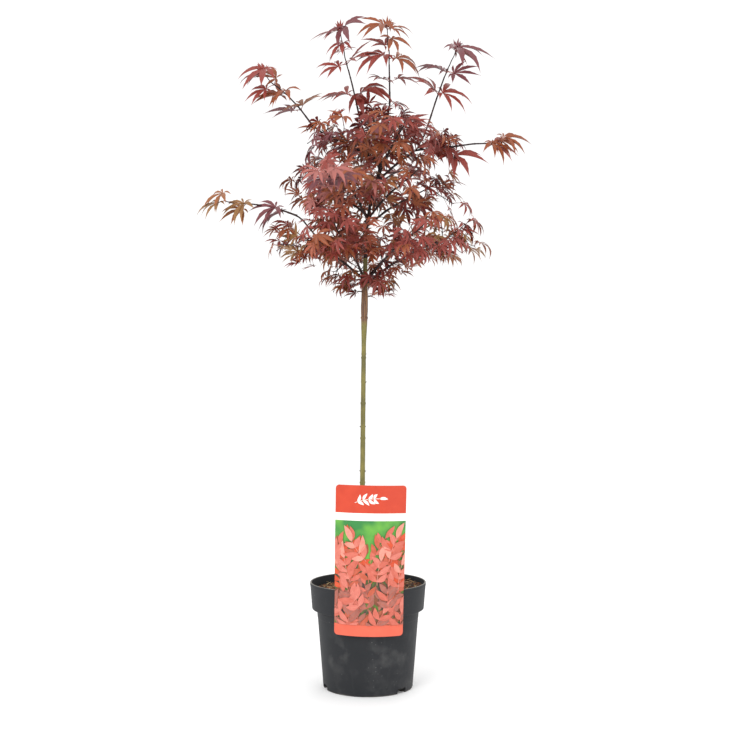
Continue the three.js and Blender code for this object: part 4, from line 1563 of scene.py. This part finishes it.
class Panel:
    """A part of the card's front, and the printing of flat shapes on it in layers."""

    OVER = 0.06 * MM  # how far the first shape lies over the card
    LAYER = 0.03 * MM  # each sprig lies that much over the last one
    STEP = 0.003 * MM  # and each shape of a leaflet that much over the last one
    NARROW = 1e-6  # strips that are cut off to less than this, in metres, are left out
    RIB = 0.28 * MM  # half the width of a leaflet's midrib at its foot
    STALK = 0.4 * MM  # half the width of a sprig's stalk

    def __init__(self, card, low, high):
        self.card, self.low, self.high = card, np.array(low), np.array(high)
        self.depth = CARD["thickness"] + self.OVER

    def strip(self, edges, material):
        """Prints the strip between two lines, cut off at the edge of the panel."""
        points = np.clip(np.stack(edges, 1).reshape(-1, 2), self.low, self.high)
        if np.ptp(points, axis=0).min() < self.NARROW:
            return
        faces = grid_faces(len(edges[0]), 2)
        self.card.add([card_point(*p, self.depth) for p in points], faces, material=material)

    def leaflet(self, place, heading, length, width, ink):
        """A pointed oval leaflet with a midrib in the next ink."""
        t = np.linspace(0, 1, 13)
        half = (width / 2 * np.sin(math.pi * t**0.85) ** 0.9)[:, None]
        ahead = np.array([math.sin(heading), math.cos(heading)])
        across = np.array([ahead[1], -ahead[0]])
        bend = dice.uniform(-0.14, 0.14) * length
        line = place + ahead * (t * length)[:, None] + across * (bend * np.sin(math.pi * t))[:, None]
        self.strip([line - across * half, line + across * half], ink)
        self.depth += self.STEP
        rib = (self.RIB * (1 - t))[:, None]
        self.strip([line - across * rib, line + across * rib], min(ink + 1, FIRST_INK + len(INKS) - 1))

    def sprig(self, foot, heading, length, pairs, size, inks, bend=0.3):
        """A thin stalk with pairs of leaflets and one at its tip."""
        t = np.linspace(0, 1, 2 * pairs + 2)
        angles = heading + bend * (t - 0.5)
        ways = np.stack([np.sin(angles), np.cos(angles)], 1)
        line = foot + np.concatenate([[[0, 0]], np.cumsum(ways[:-1] * length / len(t), axis=0)])
        across = np.stack([ways[:, 1], -ways[:, 0]], 1) * self.STALK
        self.strip([line - across, line + across], inks[-1])
        for k in range(pairs):
            share = 1 - 0.45 * abs(k / max(pairs - 1, 1) - 0.4)
            for side in (-1, 1):
                turn = angles[2 * k + 1] + side * dice.uniform(0.7, 1.0)
                reach = size * share * dice.uniform(0.85, 1.1)
                self.leaflet(line[2 * k + 1], turn, reach, size * 0.32, int(dice.choice(inks)))
        self.leaflet(line[-1], angles[-1], size, size * 0.34, inks[-1])
        self.depth += self.LAYER


# The sprigs of the picture in three layers: how many across and up, their inks in the lower rows and in
# the upper ones, by their places in INKS, and how long they and their leaflets are.
PRINT_LAYERS = (
    dict(across=5, up=4, low_inks=(0, 1, 3), inks=(1, 2, 4), length=0.042, size=0.026),
    dict(across=4, up=4, low_inks=(2, 3, 5), inks=(2, 4, 5), length=0.040, size=0.024),
    dict(across=3, up=4, low_inks=(3, 3, 5, 6), inks=(5, 6, 6, 7), length=0.044, size=0.028),
)
PRINT_FILL = 0.98  # the share of the picture's height that sprigs rise from
PRINT_BELOW = 0.03  # how far the lowest of them start below the picture
PRINT_MOUND = 0.016  # how much higher the sprigs stand in the middle
PRINT_STRAY = 0.006  # how far each is moved at random
HEADER_FROM = 0.195  # the lower edge of the plain part of the header
HEADER_SPRIG = dict(foot=np.array([-0.026, 0.2095]), heading=1.42, length=0.044, pairs=4, size=0.014,
                    inks=[WHITE, WHITE], bend=0.4)


def add_print(card):
    """Leafy sprigs in coral and red over the picture, and a white sprig on the header."""
    start_dice("print")
    half = CARD["width"] / 2
    low, high = (edge * CARD["height"] for edge, _ in BANDS[:2])
    picture = Panel(card, (-half, low), (half, high))
    for layer in PRINT_LAYERS:
        for row in range(layer["up"]):
            inks = [FIRST_INK + ink for ink in layer["low_inks" if row < layer["up"] / 2 else "inks"]]
            for column in range(layer["across"]):
                x = half * (2 * (column + 0.5 + 0.25 * (-1) ** row) / layer["across"] - 1)
                z = low - PRINT_BELOW + (high - low) * PRINT_FILL * row / layer["up"]
                z += PRINT_MOUND * (1 - (x / half) ** 2)
                foot = np.array([x, z]) + dice.uniform(-PRINT_STRAY, PRINT_STRAY, 2)
                heading = 0.5 * x / half + dice.uniform(-0.6, 0.6)
                picture.sprig(foot, heading, layer["length"], 3, layer["size"], inks)
    Panel(card, (-half, HEADER_FROM), (half, CARD["height"])).sprig(**HEADER_SPRIG)


# ---------------------------------------------------------------- studio

MIDDLE = Vector((0, 0, 0.5))  # what the lamps shine at
# Each lamp's place, size and power.
LAMPS = {
    "key": ((-1.3, -2.6, 1.7), 1.6, 40),
    "fill": ((1.8, -2.2, 1.0), 2.0, 18),
    "back": ((0.8, 2.4, 2.2), 1.8, 14),
}
SKY_LIGHT = 1.08
FLOOR_SIZE = 14
EYE = (0.0082, -2.03, 0.5165)
LENS, SENSOR = 59.6, 36


def placed(name, data, place, turn):
    """An object in the scene that isn't a piece: a lamp or the camera."""
    holder = bpy.data.objects.new(name, data)
    bpy.context.scene.collection.objects.link(holder)
    holder.location, holder.rotation_euler = place, turn
    return holder


def make_studio():
    scene = bpy.context.scene
    scene.view_settings.view_transform = "Standard"
    world = bpy.data.worlds.new("studio")
    world.use_nodes = True
    world.node_tree.nodes["Background"].inputs["Color"].default_value = (1, 1, 1, 1)
    world.node_tree.nodes["Background"].inputs["Strength"].default_value = SKY_LIGHT
    scene.world = world
    bpy.ops.mesh.primitive_plane_add(size=FLOOR_SIZE)
    plane = bpy.context.object
    plane.name = "studio_floor"
    plane.data.materials.append(Finish("studio_floor", 0xFAFAFA, 0.8).material)
    for name, (place, size, power) in LAMPS.items():
        lamp = bpy.data.lights.new(name, "AREA")
        lamp.shape, lamp.size, lamp.energy = "DISK", size, power
        placed(name, lamp, place, (MIDDLE - Vector(place)).to_track_quat("-Z", "Y").to_euler())
    eye = bpy.data.cameras.new("camera")
    eye.lens, eye.sensor_width = LENS, SENSOR
    scene.camera = placed("camera", eye, EYE, (math.pi / 2, 0, 0))


make_studio()
make_plant()
make_pot()
make_soil()
make_card()
